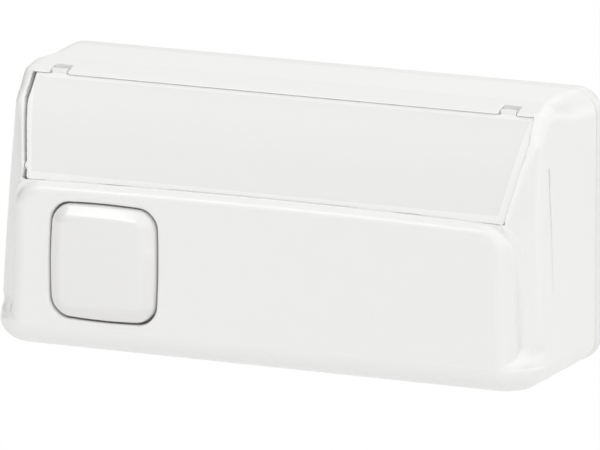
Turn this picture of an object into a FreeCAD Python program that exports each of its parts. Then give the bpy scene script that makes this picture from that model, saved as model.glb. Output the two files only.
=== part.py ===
import FreeCAD, Part
import math
import os
import Sketcher

# Surface bell push with a name plate window, a square push button and a lamp behind the label.
# Millimetres. X runs to the right, Y into the wall, Z up. The wall is the plane Y = 0 and the
# origin is the middle of the back, between the two wall screws.

SIZES = {
    # outline of the casing seen from the front
    "case_height": 42.7,
    "half_width_top": 43.8,
    "half_width_bottom": 45.9,
    "back_half_width": 45.7,
    "case_corner": 4.0,
    "wall": 2.2,
    # heights: the window's zone hangs from the top, the bar's zone stands on the bottom
    "brow_drop": 1.1,
    "kink_drop": 5.35,
    "crease_drop": 16.85,
    "strip_drop": 11.5,
    "strip_low_rise": 7.35,
    "lip_rise": 4.15,
    # depths of the side profile, each a step out from the one before, starting at the wall
    "base_thickness": 2.4,
    "top_face_depth": 14.6,
    "brow_step": 3.6,
    "kink_step": 3.1,
    "crease_step": 4.3,
    "bar_step": 1.15,
    "bar_lean": 0.8,
    "brow_round": 4.0,
    "brow_edge": 1.0,
    # cheeks on both sides of the window: how far their outer edge falls back from the ridge
    "cheek_fall_kink": 0.7,
    "cheek_fall_crease": 3.9,
    "strip_fall": 4.65,
    "strip_set_back": 3.65,
    "strip_tuck": 0.3,
    "lip_fall": 1.6,
    "lip_set_back": 0.6,
    "ridge_inset_top": 1.7,
    "ridge_inset_kink": 1.5,
    "ridge_inset_crease": 4.03,
    # raised bar that carries the button, and the lip under it
    "bar_inset_top": 1.8,
    "bar_inset_bottom": 3.1,
    "bar_corner": 5.0,
    "bar_round": 2.4,
    "bar_overlap": 0.7,
    "lip_round": 3.0,
    "lip_edge": 1.2,
    "hollow_corner": 1.5,
    # window recess, window, label and carrier
    "recess_rim": 0.6,
    "window_gap": 0.3,
    "window_thickness": 1.6,
    "window_bend": 14.0,
    "window_set_back": 0.35,
    "window_top_gap": 0.25,
    "window_low_gap": 0.15,
    "floor_thickness": 1.6,
    "hinge_rise": 1.7,
    "hinge_margin": 1.1,
    "hinge_radius": 0.7,
    "hinge_pin_length": 0.7,
    "hinge_pin_root": 2.0,
    "hinge_end_gap": 0.1,
    "hinge_groove": 1.75,
    "running_fit": 0.05,
    "tab_inset": 6.1,
    "tab_width": 2.6,
    "tab_height": 0.5,
    "tab_thickness": 0.9,
    "tab_set_back": 0.2,
    "tab_clearance": 0.2,
    "tab_room": 1.2,
    "tab_head_room": 0.3,
    "label_thickness": 0.25,
    "label_margin": 8.1,
    "label_end_gap": 1.0,
    "carrier_thickness": 1.2,
    "carrier_gap": 0.2,
    "carrier_end_gap": 0.7,
    "light_screw_gap": 2.9,
    "light_margin": 1.0,
    # thumbnail groove in the casing's side faces
    "groove_rise": 7.5,
    "groove_drop": 11.9,
    "groove_set_back": 3.9,
    "groove_width": 0.5,
    "groove_depth": 0.35,
    # push button: it fills the bar between three margins
    "button_margin_top": 2.84,
    "button_margin_bottom": 5.01,
    "button_margin_side": 7.33,
    "button_corner": 3.0,
    "button_round": 1.6,
    "button_raise": 1.2,
    "button_gap": 0.28,
    "button_wall": 1.6,
    "flange_rim": 0.5,
    "flange_thickness": 1.2,
    "flange_gap": 0.1,
    "stem_radius": 2.5,
    "stem_gap": 0.3,
    "guide_depth": 14.0,
    "guide_thickness": 1.5,
    "guide_leg": 1.7,
    "guide_leg_gap": 0.3,
    "guide_leg_height": 13.0,
    "guide_hub_radius": 4.6,
    "guide_hub_length": 3.0,
    "spring_radius": 3.9,
    "spring_wire": 0.6,
    "spring_turns": 4.5,
    # contacts and terminals
    "block_thickness": 3.0,
    "block_margin": 0.4,
    "block_reach": 23.7,
    "block_half_height": 8.0,
    "pedestal_width": 4.0,
    "strip_thickness": 0.5,
    "strip_width": 3.2,
    "strip_edge": 0.5,
    "leaf_thickness": 0.3,
    "leaf_width": 4.4,
    "leaf_tab_width": 2.5,
    "leaf_rise": 2.2,
    "contact_reach": 4.5,
    "contact_pad": 2.0,
    "rivet_radius": 1.3,
    "rivet_height": 0.5,
    "terminal_size": 6.0,
    "terminal_height": 5.5,
    "terminal_inset": 1.0,
    "terminal_edge": 0.6,
    "wire_hole_radius": 1.2,
    "wire_hole_depth": 1.9,
    "thread_spare": 0.3,
    "screw_radius": 1.5,
    "screw_clearance": 0.2,
    "screw_head_radius": 2.7,
    "screw_head_height": 1.8,
    "screw_slot_width": 0.8,
    "screw_slot_depth": 0.8,
    "terminal_screw_length": 3.6,
    "hook_thickness": 1.2,
    "hook_width": 5.0,
    "hook_nose": 0.6,
    "hook_rise": 1.2,
    # lamp behind the label
    "lamp_rise": 4.8,
    "lamp_depth": 10.6,
    "bulb_radius": 3.8,
    "bulb_wall": 0.5,
    "bulb_half_length": 12.5,
    "cap_radius": 3.5,
    "cap_length": 5.0,
    "cap_end_gap": 0.9,
    "filament_radius": 0.2,
    "holder_half_height": 4.5,
    "holder_thickness": 2.0,
    "holder_end_rise": 6.0,
    "holder_end": 1.6,
    "clip_thickness": 0.4,
    "clip_width": 3.2,
    "clip_arm": 9.5,
    # fixing
    "wall_screw_inset": 6.85,
    "wall_hole_radius": 2.2,
    "wall_boss_radius": 4.0,
    "wall_boss_rise": 1.6,
    "cover_screw_inset": 8.66,
    "cover_screw_rise": 7.3,
    "cover_screw_length": 9.0,
    "cover_boss_radius": 3.6,
    "cover_seat_step": 0.4,
    "cover_seat_thickness": 3.4,
    "cover_tube_rise": 2.5,
    "rim_thickness": 1.5,
    "rim_rise": 4.0,
    "rim_gap": 0.15,
    "rim_corner": 0.5,
    # cable entry and back gasket
    "cable_place": 10.0,
    "cable_drop": 8.5,
    "grommet_radius": 5.0,
    "grommet_flange": 1.6,
    "grommet_flange_thickness": 0.7,
    "grommet_web": 0.8,
    "cable_radius": 2.6,
    "gasket_inset": 2.0,
    "gasket_width": 1.8,
    "gasket_gap": 0.3,
    "gasket_depth": 1.0,
    # how far a joined block sinks into its neighbour, and how far a cutting block runs past
    "sink": 0.5,
    "past": 1.0,
    "far_past": 8.0,
}

doc = FreeCAD.newDocument("bell_push")
sheet = doc.addObject("Spreadsheet::Sheet", "sizes")


class Size:
    """A length with its number and the sheet formula that gives it."""

    def __init__(self, formula, value):
        self.formula = formula
        self.value = value

    def joined(self, sign, other, value):
        return Size("(%s %s %s)" % (self.formula, sign, other.formula), value)

    def __add__(self, other):
        other = as_size(other)
        return self.joined("+", other, self.value + other.value)

    def __sub__(self, other):
        other = as_size(other)
        return self.joined("-", other, self.value - other.value)

    def __mul__(self, other):
        other = as_size(other)
        return self.joined("*", other, self.value * other.value)

    def __truediv__(self, other):
        other = as_size(other)
        return self.joined("/", other, self.value / other.value)

    def __neg__(self):
        return Size("(0 - %s)" % self.formula, -self.value)


def as_size(number):
    if isinstance(number, Size):
        return number
    return Size("(%.6f)" % number, float(number))


class Cells:
    """Every size of the sheet as an attribute."""


cell = Cells()
for row, (alias, number) in enumerate(SIZES.items(), 1):
    sheet.set("A%d" % row, alias)
    sheet.set("B%d" % row, str(number))
    sheet.setAlias("B%d" % row, alias)
    setattr(cell, alias, Size("sizes." + alias, float(number)))
doc.recompute()

SIDES = ((1, "right"), (-1, "left"))
zero = as_size(0)


def bind(thing, prop, size):
    thing.setExpression(prop, as_size(size).formula)


def place(thing, x, y, z, rotation=None):
    """Put a thing at a point whose three coordinates follow the sheet."""
    values = [as_size(v) for v in (x, y, z)]
    turn = rotation or FreeCAD.Rotation()
    thing.Placement = FreeCAD.Placement(FreeCAD.Vector(*[v.value for v in values]), turn)
    for letter, value in zip("xyz", values):
        bind(thing, "Placement.Base." + letter, value)


def box(name, x, y, z):
    """A block between the two ends given for each axis."""
    block = doc.addObject("Part::Box", name)
    for prop, (low, high) in (("Length", x), ("Width", y), ("Height", z)):
        bind(block, prop, as_size(high) - low)
    place(block, x[0], y[0], z[0])
    return block


TURN_TO = {
    "x": FreeCAD.Rotation(FreeCAD.Vector(0, 1, 0), 90),
    "y": FreeCAD.Rotation(FreeCAD.Vector(1, 0, 0), -90),
}


def rod(name, axis, start, length, radius):
    """A round bar from its start point along an axis."""
    bar = doc.addObject("Part::Cylinder", name)
    bind(bar, "Radius", radius)
    bind(bar, "Height", length)
    place(bar, *start, TURN_TO[axis])
    return bar


def fuse(name, *shapes):
    joined = doc.addObject("Part::MultiFuse", name)
    joined.Shapes = list(shapes)
    joined.Refine = True
    return joined


def common(name, *shapes):
    shared = doc.addObject("Part::MultiCommon", name)
    shared.Shapes = list(shapes)
    return shared


def cut(name, base, *tools):
    tool = tools[0] if len(tools) == 1 else fuse(name + "_tools", *tools)
    rest = doc.addObject("Part::Cut", name)
    rest.Base = base
    rest.Tool = tool
    return rest


def group(name, *shapes):
    many = doc.addObject("Part::Compound", name)
    many.Links = list(shapes)
    return many


PLANES = {
    "XY": FreeCAD.Rotation(),
    "XZ": FreeCAD.Rotation(FreeCAD.Vector(1, 0, 0), 90),
    "YZ": FreeCAD.Rotation(FreeCAD.Vector(1, 1, 1), 120),
}


def draw(sketch, points):
    """Draw a closed outline. A point is (across, up) or (across, up, corner radius)."""
    count = len(points)
    spots = [FreeCAD.Vector(as_size(p[0]).value, as_size(p[1]).value, 0) for p in points]
    rounds = [as_size(p[2]) if len(p) > 2 else None for p in points]
    enters, leaves, arcs = [], [], []
    for i, spot in enumerate(spots):
        back = (spots[i - 1] - spot).normalize()
        ahead = (spots[(i + 1) % count] - spot).normalize()
        if rounds[i] is None:
            enters.append(spot)
            leaves.append(spot)
            arcs.append(None)
            continue
        half_angle = back.getAngle(ahead) / 2
        reach = rounds[i].value / math.tan(half_angle)
        middle = spot + (back + ahead).normalize() * (rounds[i].value / math.sin(half_angle))
        first, last = spot + back * reach, spot + ahead * reach
        turn = (spot - spots[i - 1]).cross(spots[(i + 1) % count] - spot).z
        arcs.append((middle, first, last, turn > 0))
        enters.append(first)
        leaves.append(last)
    lines = []
    for i in range(count):
        lines.append(sketch.addGeometry(Part.LineSegment(leaves[i], enters[(i + 1) % count]), False))
    for i in range(count):
        before, after = lines[i - 1], lines[i]
        if arcs[i] is None:
            sketch.addConstraint(Sketcher.Constraint("Coincident", before, 2, after, 1))
            holder, end = after, 1
        else:
            middle, first, last, leftward = arcs[i]
            start, stop = (first, last) if leftward else (last, first)
            angles = [math.atan2(p.y - middle.y, p.x - middle.x) for p in (start, stop)]
            circle = Part.Circle(middle, FreeCAD.Vector(0, 0, 1), rounds[i].value)
            arc = sketch.addGeometry(Part.ArcOfCircle(circle, angles[0], angles[1]), False)
            ends = (1, 2) if leftward else (2, 1)
            sketch.addConstraint(Sketcher.Constraint("Tangent", before, 2, arc, ends[0]))
            sketch.addConstraint(Sketcher.Constraint("Tangent", arc, ends[1], after, 1))
            radius = sketch.addConstraint(Sketcher.Constraint("Radius", arc, rounds[i].value))
            sketch.setExpression("Constraints[%d]" % radius, rounds[i].formula)
            holder = sketch.addGeometry(Part.Point(spots[i]), True)
            end = 1
            sketch.addConstraint(Sketcher.Constraint("PointOnObject", holder, 1, before))
            sketch.addConstraint(Sketcher.Constraint("PointOnObject", holder, 1, after))
        for kind, size in (("DistanceX", as_size(points[i][0])), ("DistanceY", as_size(points[i][1]))):
            number = sketch.addConstraint(Sketcher.Constraint(kind, -1, 1, holder, end, size.value))
            sketch.setExpression("Constraints[%d]" % number, size.formula)


def outline(name, plane, points, offset):
    """A free sketch of a closed outline on a plane, moved along the plane's normal."""
    sketch = doc.addObject("Sketcher::SketchObject", name)
    shift = [zero, zero, zero]
    shift["YZ XZ XY".split().index(plane)] = as_size(offset)
    place(sketch, *shift, PLANES[plane])
    draw(sketch, points)
    return sketch


def prism(name, plane, points, low, high):
    """An outline pushed through from low to high along the axis across its plane."""
    sketch = outline(name + "_outline", plane, points, low)
    solid = doc.addObject("Part::Extrusion", name)
    solid.Base = sketch
    solid.DirMode = "Custom"
    solid.Dir = {"XZ": (0, 1, 0), "YZ": (1, 0, 0)}[plane]
    solid.Solid = True
    bind(solid, "LengthFwd", as_size(high) - low)
    return solid


def rounded(name, base, radius, chosen):
    """Round the edges that the chosen test picks."""
    doc.recompute()
    solid = doc.addObject("Part::Fillet", name)
    solid.Base = base
    picked = [i for i, edge in enumerate(base.Shape.Edges, 1) if chosen(edge)]
    solid.Edges = [(i, radius.value, radius.value) for i in picked]
    return solid


def middle_of(edge):
    return edge.valueAt((edge.FirstParameter + edge.LastParameter) / 2)


def along(start, stop, share):
    return start + (stop - start) * share


# heights above the middle of the casing
top = cell.case_height / 2
bottom = -top
brow_height = top - cell.brow_drop
kink_height = top - cell.kink_drop
crease_height = top - cell.crease_drop
strip_top_height = crease_height - cell.strip_drop
strip_low_height = bottom + cell.strip_low_rise
lip_height = bottom + cell.lip_rise
bar_top = crease_height + cell.bar_overlap
hinge_height = crease_height + cell.hinge_rise
cover_screw_height = crease_height + cell.cover_screw_rise

# depths out from the wall
ridge_depth_top = cell.top_face_depth + cell.brow_step
ridge_depth_kink = ridge_depth_top + cell.kink_step
ridge_depth_crease = ridge_depth_kink + cell.crease_step
bar_depth_top = ridge_depth_crease + cell.bar_step
bar_depth_bottom = bar_depth_top + cell.bar_lean
bar_slope = cell.bar_lean / (crease_height - bottom)
base_front = -cell.base_thickness

# half widths of the bar at its two ends, and how far a trimming block reaches sideways
bar_half_top = cell.half_width_top - cell.bar_inset_top
bar_half_bottom = cell.half_width_bottom - cell.bar_inset_bottom
side_reach = cell.half_width_bottom + cell.far_past
front_reach = bar_depth_bottom + cell.far_past


def half_width(height):
    """Half the casing's width at a height."""
    return along(cell.half_width_bottom, cell.half_width_top, (height - bottom) / cell.case_height)


def bar_half(height):
    """Half the bar's width at a height."""
    return along(bar_half_bottom, bar_half_top, (height - bottom) / (bar_top - bottom))


def bar_depth(height):
    """How far the bar's front stands out from the wall at a height."""
    return bar_depth_top + bar_slope * (crease_height - height)


def case_outline(inset, corner=None):
    """The casing's front outline, drawn in all round by the inset."""
    corner = corner or cell.case_corner - inset
    low, high = cell.half_width_bottom - inset, cell.half_width_top - inset
    return [
        (-low, bottom + inset, corner), (low, bottom + inset, corner),
        (high, top - inset, corner), (-high, top - inset, corner),
    ]


def block_outline(share):
    """The casing's outer outline: square at the back (0), the front outline at the cheeks (1)."""
    low = along(cell.back_half_width, cell.half_width_bottom, share)
    high = along(cell.back_half_width, cell.half_width_top, share)
    corner = cell.case_corner
    return [(-low, bottom, corner), (low, bottom, corner), (high, top, corner), (-high, top, corner)]


# push button: its square, which the opening, the guide and the contacts follow
button_size = crease_height - bottom - cell.button_margin_top - cell.button_margin_bottom
button_z = crease_height - cell.button_margin_top - button_size / 2
button_x = cell.button_margin_side + button_size / 2 - bar_half(button_z)

# contact block: the insulating base that the contacts and terminals stand on
block_low = button_z - cell.block_half_height
block_high = button_z + cell.block_half_height
block_front = base_front - cell.block_thickness
tip_x = button_x - cell.contact_reach
pad_x = (tip_x - cell.contact_pad, tip_x + cell.contact_pad)
block_x = (pad_x[0] - cell.block_margin, button_x + cell.block_reach)
terminal_end = block_x[1] - cell.terminal_inset
terminal_x = (terminal_end - cell.terminal_size, terminal_end)
upper_z = (block_high - cell.terminal_edge - cell.terminal_size, block_high - cell.terminal_edge)
lower_z = (block_low + cell.terminal_edge, block_low + cell.terminal_edge + cell.terminal_size)
leaf_end = terminal_x[0] - cell.running_fit
leaf_z = (button_z - cell.leaf_width / 2, button_z + cell.leaf_width / 2)
leaf_back = block_front - cell.leaf_rise
leaf_front = leaf_back - cell.leaf_thickness
contact_block = fuse(
    "contact_block",
    box("block_base", block_x, (block_front, base_front), (block_low, block_high)),
    box("block_pedestal", (terminal_x[0] - cell.pedestal_width, leaf_end), (leaf_back, block_front),
        (leaf_z[0], upper_z[1])),
)

# moving contact: a springy leaf under the stem, with a tab to the upper terminal
moving_contact = fuse(
    "moving_contact",
    box("leaf_blade", (pad_x[0], leaf_end), (leaf_front, leaf_back), leaf_z),
    box("leaf_tab", (terminal_x[0] - cell.leaf_tab_width, leaf_end), (leaf_front, leaf_back),
        (leaf_z[1] - cell.sink, upper_z[1])),
)

# fixed contact: a brass strip on the block, from under the leaf's tip to the lower terminal
strip_front = block_front - cell.strip_thickness
strip_z = lower_z[0] + cell.strip_edge
fixed_contact = fuse(
    "fixed_contact",
    box("strip_run", (pad_x[0], terminal_x[1]), (strip_front, block_front),
        (strip_z, strip_z + cell.strip_width)),
    box("strip_tab", pad_x, (strip_front, block_front), (strip_z, leaf_z[1])),
)
contact_rivets = group(
    "contact_rivets",
    rod("rivet_fixed", "y", (tip_x, strip_front - cell.rivet_height, button_z),
        cell.rivet_height, cell.rivet_radius),
    rod("rivet_moving", "y", (tip_x, leaf_back, button_z), cell.rivet_height, cell.rivet_radius),
)


def slotted_screw(name, x, seat, z, length):
    """A cheese head screw that points at the wall, its head's back on the seat."""
    head_front = seat - cell.screw_head_height
    head = rod(name + "_head", "y", (x, head_front, z), cell.screw_head_height, cell.screw_head_radius)
    shank = rod(name + "_shank", "y", (x, seat - cell.sink, z), length + cell.sink, cell.screw_radius)
    reach = cell.screw_head_radius + cell.past
    half = cell.screw_slot_width / 2
    slot = box(name + "_slot", (x - reach, x + reach),
               (head_front - cell.past, head_front + cell.screw_slot_depth), (z - half, z + half))
    return cut(name, fuse(name + "_blank", head, shank), slot)


# terminals: brass blocks with a wire hole from the side and a clamping screw from the front
def terminal(name, ends_z, back):
    front = back - cell.terminal_height
    middle_x = (terminal_x[0] + terminal_x[1]) / 2
    middle_z = (ends_z[0] + ends_z[1]) / 2
    block = box(name + "_block", terminal_x, (front, back), ends_z)
    screw_hole = rod(name + "_thread", "y", (middle_x, front - cell.past, middle_z),
                     cell.past + cell.terminal_screw_length + cell.thread_spare,
                     cell.screw_radius + cell.running_fit)
    wire_hole = rod(name + "_wire_hole", "x",
                    (terminal_x[0] - cell.past, back - cell.wire_hole_depth, middle_z),
                    cell.terminal_size + cell.past * 2, cell.wire_hole_radius)
    screw = slotted_screw(name + "_screw", middle_x, front, middle_z, cell.terminal_screw_length)
    return cut(name, block, screw_hole, wire_hole), screw


upper_terminal, upper_screw = terminal("terminal_upper", upper_z, block_front)
lower_terminal, lower_screw = terminal("terminal_lower", lower_z, strip_front)
terminal_screws = group("terminal_screws", upper_screw, lower_screw)

# base plate: the moulding that is screwed to the wall and shows as a thin rim behind the casing
rim_inset = cell.wall + cell.rim_gap
rim_front = base_front - cell.rim_rise
rim = cut(
    "rim",
    prism("rim_outer", "XZ", case_outline(rim_inset), rim_front, base_front + cell.sink),
    prism("rim_inner", "XZ", case_outline(rim_inset + cell.rim_thickness, cell.rim_corner),
          rim_front - cell.past, base_front),
)
wall_boss_front = base_front - cell.wall_boss_rise
seat_depth = cell.top_face_depth + cell.cover_seat_step
boss_depth = seat_depth - cell.cover_seat_thickness
cover_screw_x = half_width(cover_screw_height) - cell.cover_screw_inset
base_adds = [prism("plate", "XZ", block_outline(0), base_front, zero), rim]
base_cuts = []
for side, mark in SIDES:
    x = (half_width(zero) - cell.wall_screw_inset) * side
    base_adds.append(rod("wall_boss_" + mark, "y", (x, wall_boss_front, zero),
                         cell.wall_boss_rise + cell.sink, cell.wall_boss_radius))
    base_cuts.append(rod("wall_hole_" + mark, "y", (x, wall_boss_front - cell.past, zero),
                         cell.base_thickness + cell.wall_boss_rise + cell.past * 2,
                         cell.wall_hole_radius))
    x = cover_screw_x * side
    post = boss_depth - cell.base_thickness
    base_adds.append(rod("cover_post_" + mark, "y", (x, -boss_depth, cover_screw_height),
                         post + cell.sink, cell.cover_boss_radius))
    base_cuts.append(rod("cover_pilot_" + mark, "y", (x, -boss_depth - cell.past, cover_screw_height),
                         post, cell.screw_radius + cell.running_fit))
hook_middle = (block_x[0] + block_x[1]) / 2
hook_x = (hook_middle - cell.hook_width / 2, hook_middle + cell.hook_width / 2)
hook_front = block_front - cell.hook_rise
for edge_z, side, mark in ((block_high, 1, "upper"), (block_low, -1, "lower")):
    near = edge_z + cell.running_fit * side
    far = near + cell.hook_thickness * side
    nose = near - cell.hook_nose * side
    base_adds.append(box("hook_arm_" + mark, hook_x, (hook_front, base_front + cell.sink),
                         (near, far)[::side]))
    base_adds.append(box("hook_nose_" + mark, hook_x, (hook_front, block_front - cell.running_fit),
                         (nose, far)[::side]))
cable_z = -cell.cable_drop
flange_radius = cell.grommet_radius + cell.grommet_flange
base_cuts.append(rod("cable_hole", "y", (cell.cable_place, base_front - cell.past, cable_z),
                     cell.base_thickness + cell.past * 2, cell.grommet_radius))
base_cuts.append(rod("cable_hole_seat", "y",
                     (cell.cable_place, -cell.grommet_flange_thickness, cable_z),
                     cell.grommet_flange_thickness + cell.past, flange_radius + cell.running_fit))


def ring_outlines(outer):
    """The outer and inner path of a ring behind the base plate, with wide corners."""
    inner = outer + cell.gasket_width
    return case_outline(outer, cell.case_corner), case_outline(inner, cell.case_corner)


groove_outer, groove_inner = ring_outlines(cell.gasket_inset)
base_cuts.append(cut(
    "gasket_groove",
    prism("gasket_groove_outer", "XZ", groove_outer, -cell.gasket_depth, cell.past),
    prism("gasket_groove_inner", "XZ", groove_inner, -cell.gasket_depth - cell.past, cell.past * 2),
))
base_plate = cut("base_plate", fuse("base_solid", *base_adds), *base_cuts)

# back gasket: a flat foam ring in the groove of the base plate's back
foam_outer = cell.gasket_inset + cell.gasket_gap
foam_inner = cell.gasket_inset + cell.gasket_width - cell.gasket_gap
back_gasket = cut(
    "back_gasket",
    prism("foam_outer", "XZ", case_outline(foam_outer, cell.case_corner), -cell.gasket_depth, zero),
    prism("foam_inner", "XZ", case_outline(foam_inner, cell.case_corner),
          -cell.gasket_depth - cell.past, cell.past),
)

# cable grommet: a rubber ring with a thin web round the cable
neck_radius = cell.grommet_radius - cell.running_fit
grommet_front = base_front - cell.grommet_flange_thickness
cable_grommet = cut(
    "cable_grommet",
    fuse(
        "grommet_solid",
        rod("grommet_back", "y", (cell.cable_place, -cell.grommet_flange_thickness, cable_z),
            cell.grommet_flange_thickness, flange_radius),
        rod("grommet_neck", "y", (cell.cable_place, grommet_front, cable_z), -grommet_front, neck_radius),
        rod("grommet_rim", "y", (cell.cable_place, grommet_front, cable_z),
            cell.grommet_flange_thickness, flange_radius),
    ),
    rod("grommet_hollow", "y", (cell.cable_place, grommet_front + cell.grommet_web, cable_z),
        cell.base_thickness + cell.past, neck_radius - cell.grommet_web),
    rod("grommet_bore", "y", (cell.cable_place, grommet_front - cell.past, cable_z),
        cell.base_thickness + cell.past * 2, cell.cable_radius),
)

# casing, outside: cheeks and window frame from one loft, the bar and the lip in front of it
cheek_depth_kink = ridge_depth_kink - cell.cheek_fall_kink
cheek_depth_crease = ridge_depth_crease - cell.cheek_fall_crease
cheek_depth_lip = bar_depth_bottom - cell.lip_fall
loft_top = top + cell.past
loft_bottom = bottom - cell.past


def strip_section(height):
    """Beside the bar the casing is a strip that starts behind the bar's side."""
    return (height, bar_depth(height) - cell.strip_fall, bar_half(height) - cell.strip_tuck,
            bar_depth(height) - cell.strip_set_back)


def lip_section(height):
    return (height, cheek_depth_lip, bar_half(height) - cell.strip_tuck,
            bar_depth(height) - cell.lip_set_back)


SECTIONS = [
    (loft_top, ridge_depth_top - cell.cheek_fall_kink, half_width(loft_top) - cell.ridge_inset_top,
     ridge_depth_top),
    (kink_height, cheek_depth_kink, half_width(kink_height) - cell.ridge_inset_kink, ridge_depth_kink),
    (crease_height, cheek_depth_crease, half_width(crease_height) - cell.ridge_inset_crease,
     ridge_depth_crease),
    strip_section(strip_top_height),
    strip_section(strip_low_height),
    lip_section(lip_height),
    lip_section(loft_bottom),
]
cheek_sections = []
for number, (height, outer_depth, inner_half, inner_depth) in enumerate(SECTIONS):
    # the outer edge stands past the casing's outline, which trims it
    outer = half_width(height) + cell.past
    fall = (inner_depth - outer_depth) / (half_width(height) - inner_half) * cell.past
    outer_y = fall - outer_depth
    cheek_sections.append(outline("cheek_section_%d" % number, "XY", [
        (-outer, base_front), (-outer, outer_y), (-inner_half, -inner_depth),
        (inner_half, -inner_depth), (outer, outer_y), (outer, base_front),
    ], height))
cheeks = doc.addObject("Part::Loft", "cheeks")
cheeks.Sections = cheek_sections
cheeks.Solid = True
cheeks.Ruled = True

low_reach = bottom - cell.far_past
high_reach = bar_top + cell.past
bar_outline = prism("bar_outline", "XZ", [
    (-bar_half(low_reach), low_reach), (bar_half(low_reach), low_reach),
    (bar_half_top, bar_top, cell.bar_corner), (-bar_half_top, bar_top, cell.bar_corner),
], -front_reach, -cell.top_face_depth)


def leaning_front(name, proud):
    """Everything behind the bar's leaning front, moved out by a distance."""
    front_low, front_high = -(bar_depth(low_reach) + proud), -(bar_depth(high_reach) + proud)
    return prism(name, "YZ", [
        (front_low, low_reach), (zero, low_reach), (zero, high_reach), (front_high, high_reach),
    ], -side_reach, side_reach)


def bar_rim(edge):
    """An edge of the bar's front face, apart from its lowest one."""
    spot = middle_of(edge)
    in_front = spot.y < -(bar_depth_top - cell.bar_round).value
    return in_front and spot.z > (low_reach + cell.past).value


bar = rounded("bar", common("bar_block", bar_outline, leaning_front("bar_trim", zero)),
              cell.bar_round, bar_rim)
lip = prism("lip", "YZ", [
    (-bar_depth(loft_bottom), loft_bottom), (-cell.top_face_depth, loft_bottom),
    (-cell.top_face_depth, lip_height), (-bar_depth(lip_height), lip_height, cell.lip_edge),
], -side_reach, side_reach)
profile_front = -(bar_depth_bottom + cell.running_fit)
side_profile = prism("side_profile", "YZ", [
    (base_front, bottom), (-bar_depth_bottom, bottom, cell.lip_round),
    (profile_front, lip_height), (profile_front, bar_top),
    (-ridge_depth_kink, kink_height), (-ridge_depth_top, brow_height, cell.brow_edge),
    (-cell.top_face_depth, top, cell.brow_round), (base_front, top),
], -side_reach, side_reach)
front_share = (front_reach - cell.base_thickness) / (cheek_depth_kink - cell.base_thickness)
case_block = doc.addObject("Part::Loft", "case_block")
case_block.Sections = [
    outline("block_back", "XZ", block_outline(0), base_front),
    outline("block_front", "XZ", block_outline(front_share), -front_reach),
]
case_block.Solid = True
case_block.Ruled = True
case_solid = common("case_solid", fuse("case_raw", cheeks, bar, lip), side_profile, case_block)

# window plane: a line leaning back from the crease to the kink, then a steeper top
window_slope = cell.crease_step / (kink_height - crease_height)
lean_in = Size("cos(atan(%s))" % window_slope.formula, math.cos(math.atan(window_slope.value)))
lean_down = Size("sin(atan(%s))" % window_slope.formula, math.sin(math.atan(window_slope.value)))
window_top = brow_height - cell.window_top_gap
window_low = hinge_height - cell.hinge_margin


def face(height, depth):
    """A point of the window's plane at a height, moved squarely in by a depth."""
    height = as_size(height)
    if height.value > kink_height.value:
        share = (height - kink_height) / (brow_height - kink_height)
        y = -along(ridge_depth_kink, ridge_depth_top, share)
    else:
        y = -(ridge_depth_kink + window_slope * (kink_height - height))
    inward = cell.window_set_back + depth
    return (y + lean_in * inward, height - lean_down * inward)


def recess_half(height):
    """Half the recess width at a height: the ridges' inner edges, less a rim."""
    ends = [(crease_height, cell.ridge_inset_crease), (kink_height, cell.ridge_inset_kink),
            (loft_top, cell.ridge_inset_top)]
    low, high = ends[1:] if as_size(height).value > kink_height.value else ends[:2]
    low_half, high_half = (half_width(z) - inset for z, inset in (low, high))
    return along(low_half, high_half, (height - low[0]) / (high[0] - low[0])) - cell.recess_rim


def slab(name, low, high, near, far, margin):
    """A sheet that follows the window's plane, between two depths behind its front."""
    profile = [face(low, near), face(low, far)]
    profile += [face(kink_height, far) + (cell.window_bend,), face(high, far), face(high, near)]
    profile += [face(kink_height, near) + (cell.window_bend,)]
    side = prism(name + "_side", "YZ", profile, -side_reach, side_reach)
    heights = [low - cell.far_past / 2, kink_height, high + cell.far_past / 2]
    right = [(recess_half(z) - margin, z) for z in heights]
    left = [(-x, z) for x, z in reversed(right)]
    return common(name, side, prism(name + "_front", "XZ", right + left, -front_reach, cell.far_past))


sheet_low = hinge_height + cell.hinge_groove + cell.window_gap
label_near = cell.window_thickness
carrier_near = label_near + cell.label_thickness
carrier_far = carrier_near + cell.carrier_thickness
floor_depth = carrier_far + cell.carrier_gap
hinge_y = face(hinge_height, zero)[0] + cell.window_thickness / 2 / lean_in
hinge_x = recess_half(hinge_height)

# casing, inside: a wide rear hollow and a narrower one in the bar, both clear of the window
hollow_front = bar_depth_top - cell.wall
behind = floor_depth + cell.floor_thickness
hollow_top_half, hollow_low_half = bar_half_top - cell.wall, bar_half_bottom - cell.wall
hollow_bar = prism("hollow_bar", "XZ", [
    (-hollow_low_half, bottom + cell.wall, cell.hollow_corner),
    (hollow_low_half, bottom + cell.wall, cell.hollow_corner),
    (hollow_top_half, crease_height, cell.hollow_corner),
    (-hollow_top_half, crease_height, cell.hollow_corner),
], -hollow_front, rim_front)
hollow_limit = prism("hollow_limit", "YZ", [
    (cell.past, bottom + cell.past), (-hollow_front - cell.past, bottom + cell.past),
    (-hollow_front - cell.past, face(crease_height, behind)[1]), face(crease_height, behind),
    face(kink_height, behind), face(window_top, behind), (cell.past, top - cell.past),
], -side_reach, side_reach)
hollow_rear = prism("hollow_rear", "XZ", case_outline(cell.wall), -(cheek_depth_kink - cell.wall),
                    cell.past)
hollow = common("hollow", fuse("hollow_raw", hollow_rear, hollow_bar), hollow_limit)
light_half = cover_screw_x - cell.cover_boss_radius - cell.light_screw_gap
hole_end = hinge_x + cell.hinge_pin_length + cell.hinge_end_gap
case_adds = []
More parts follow.
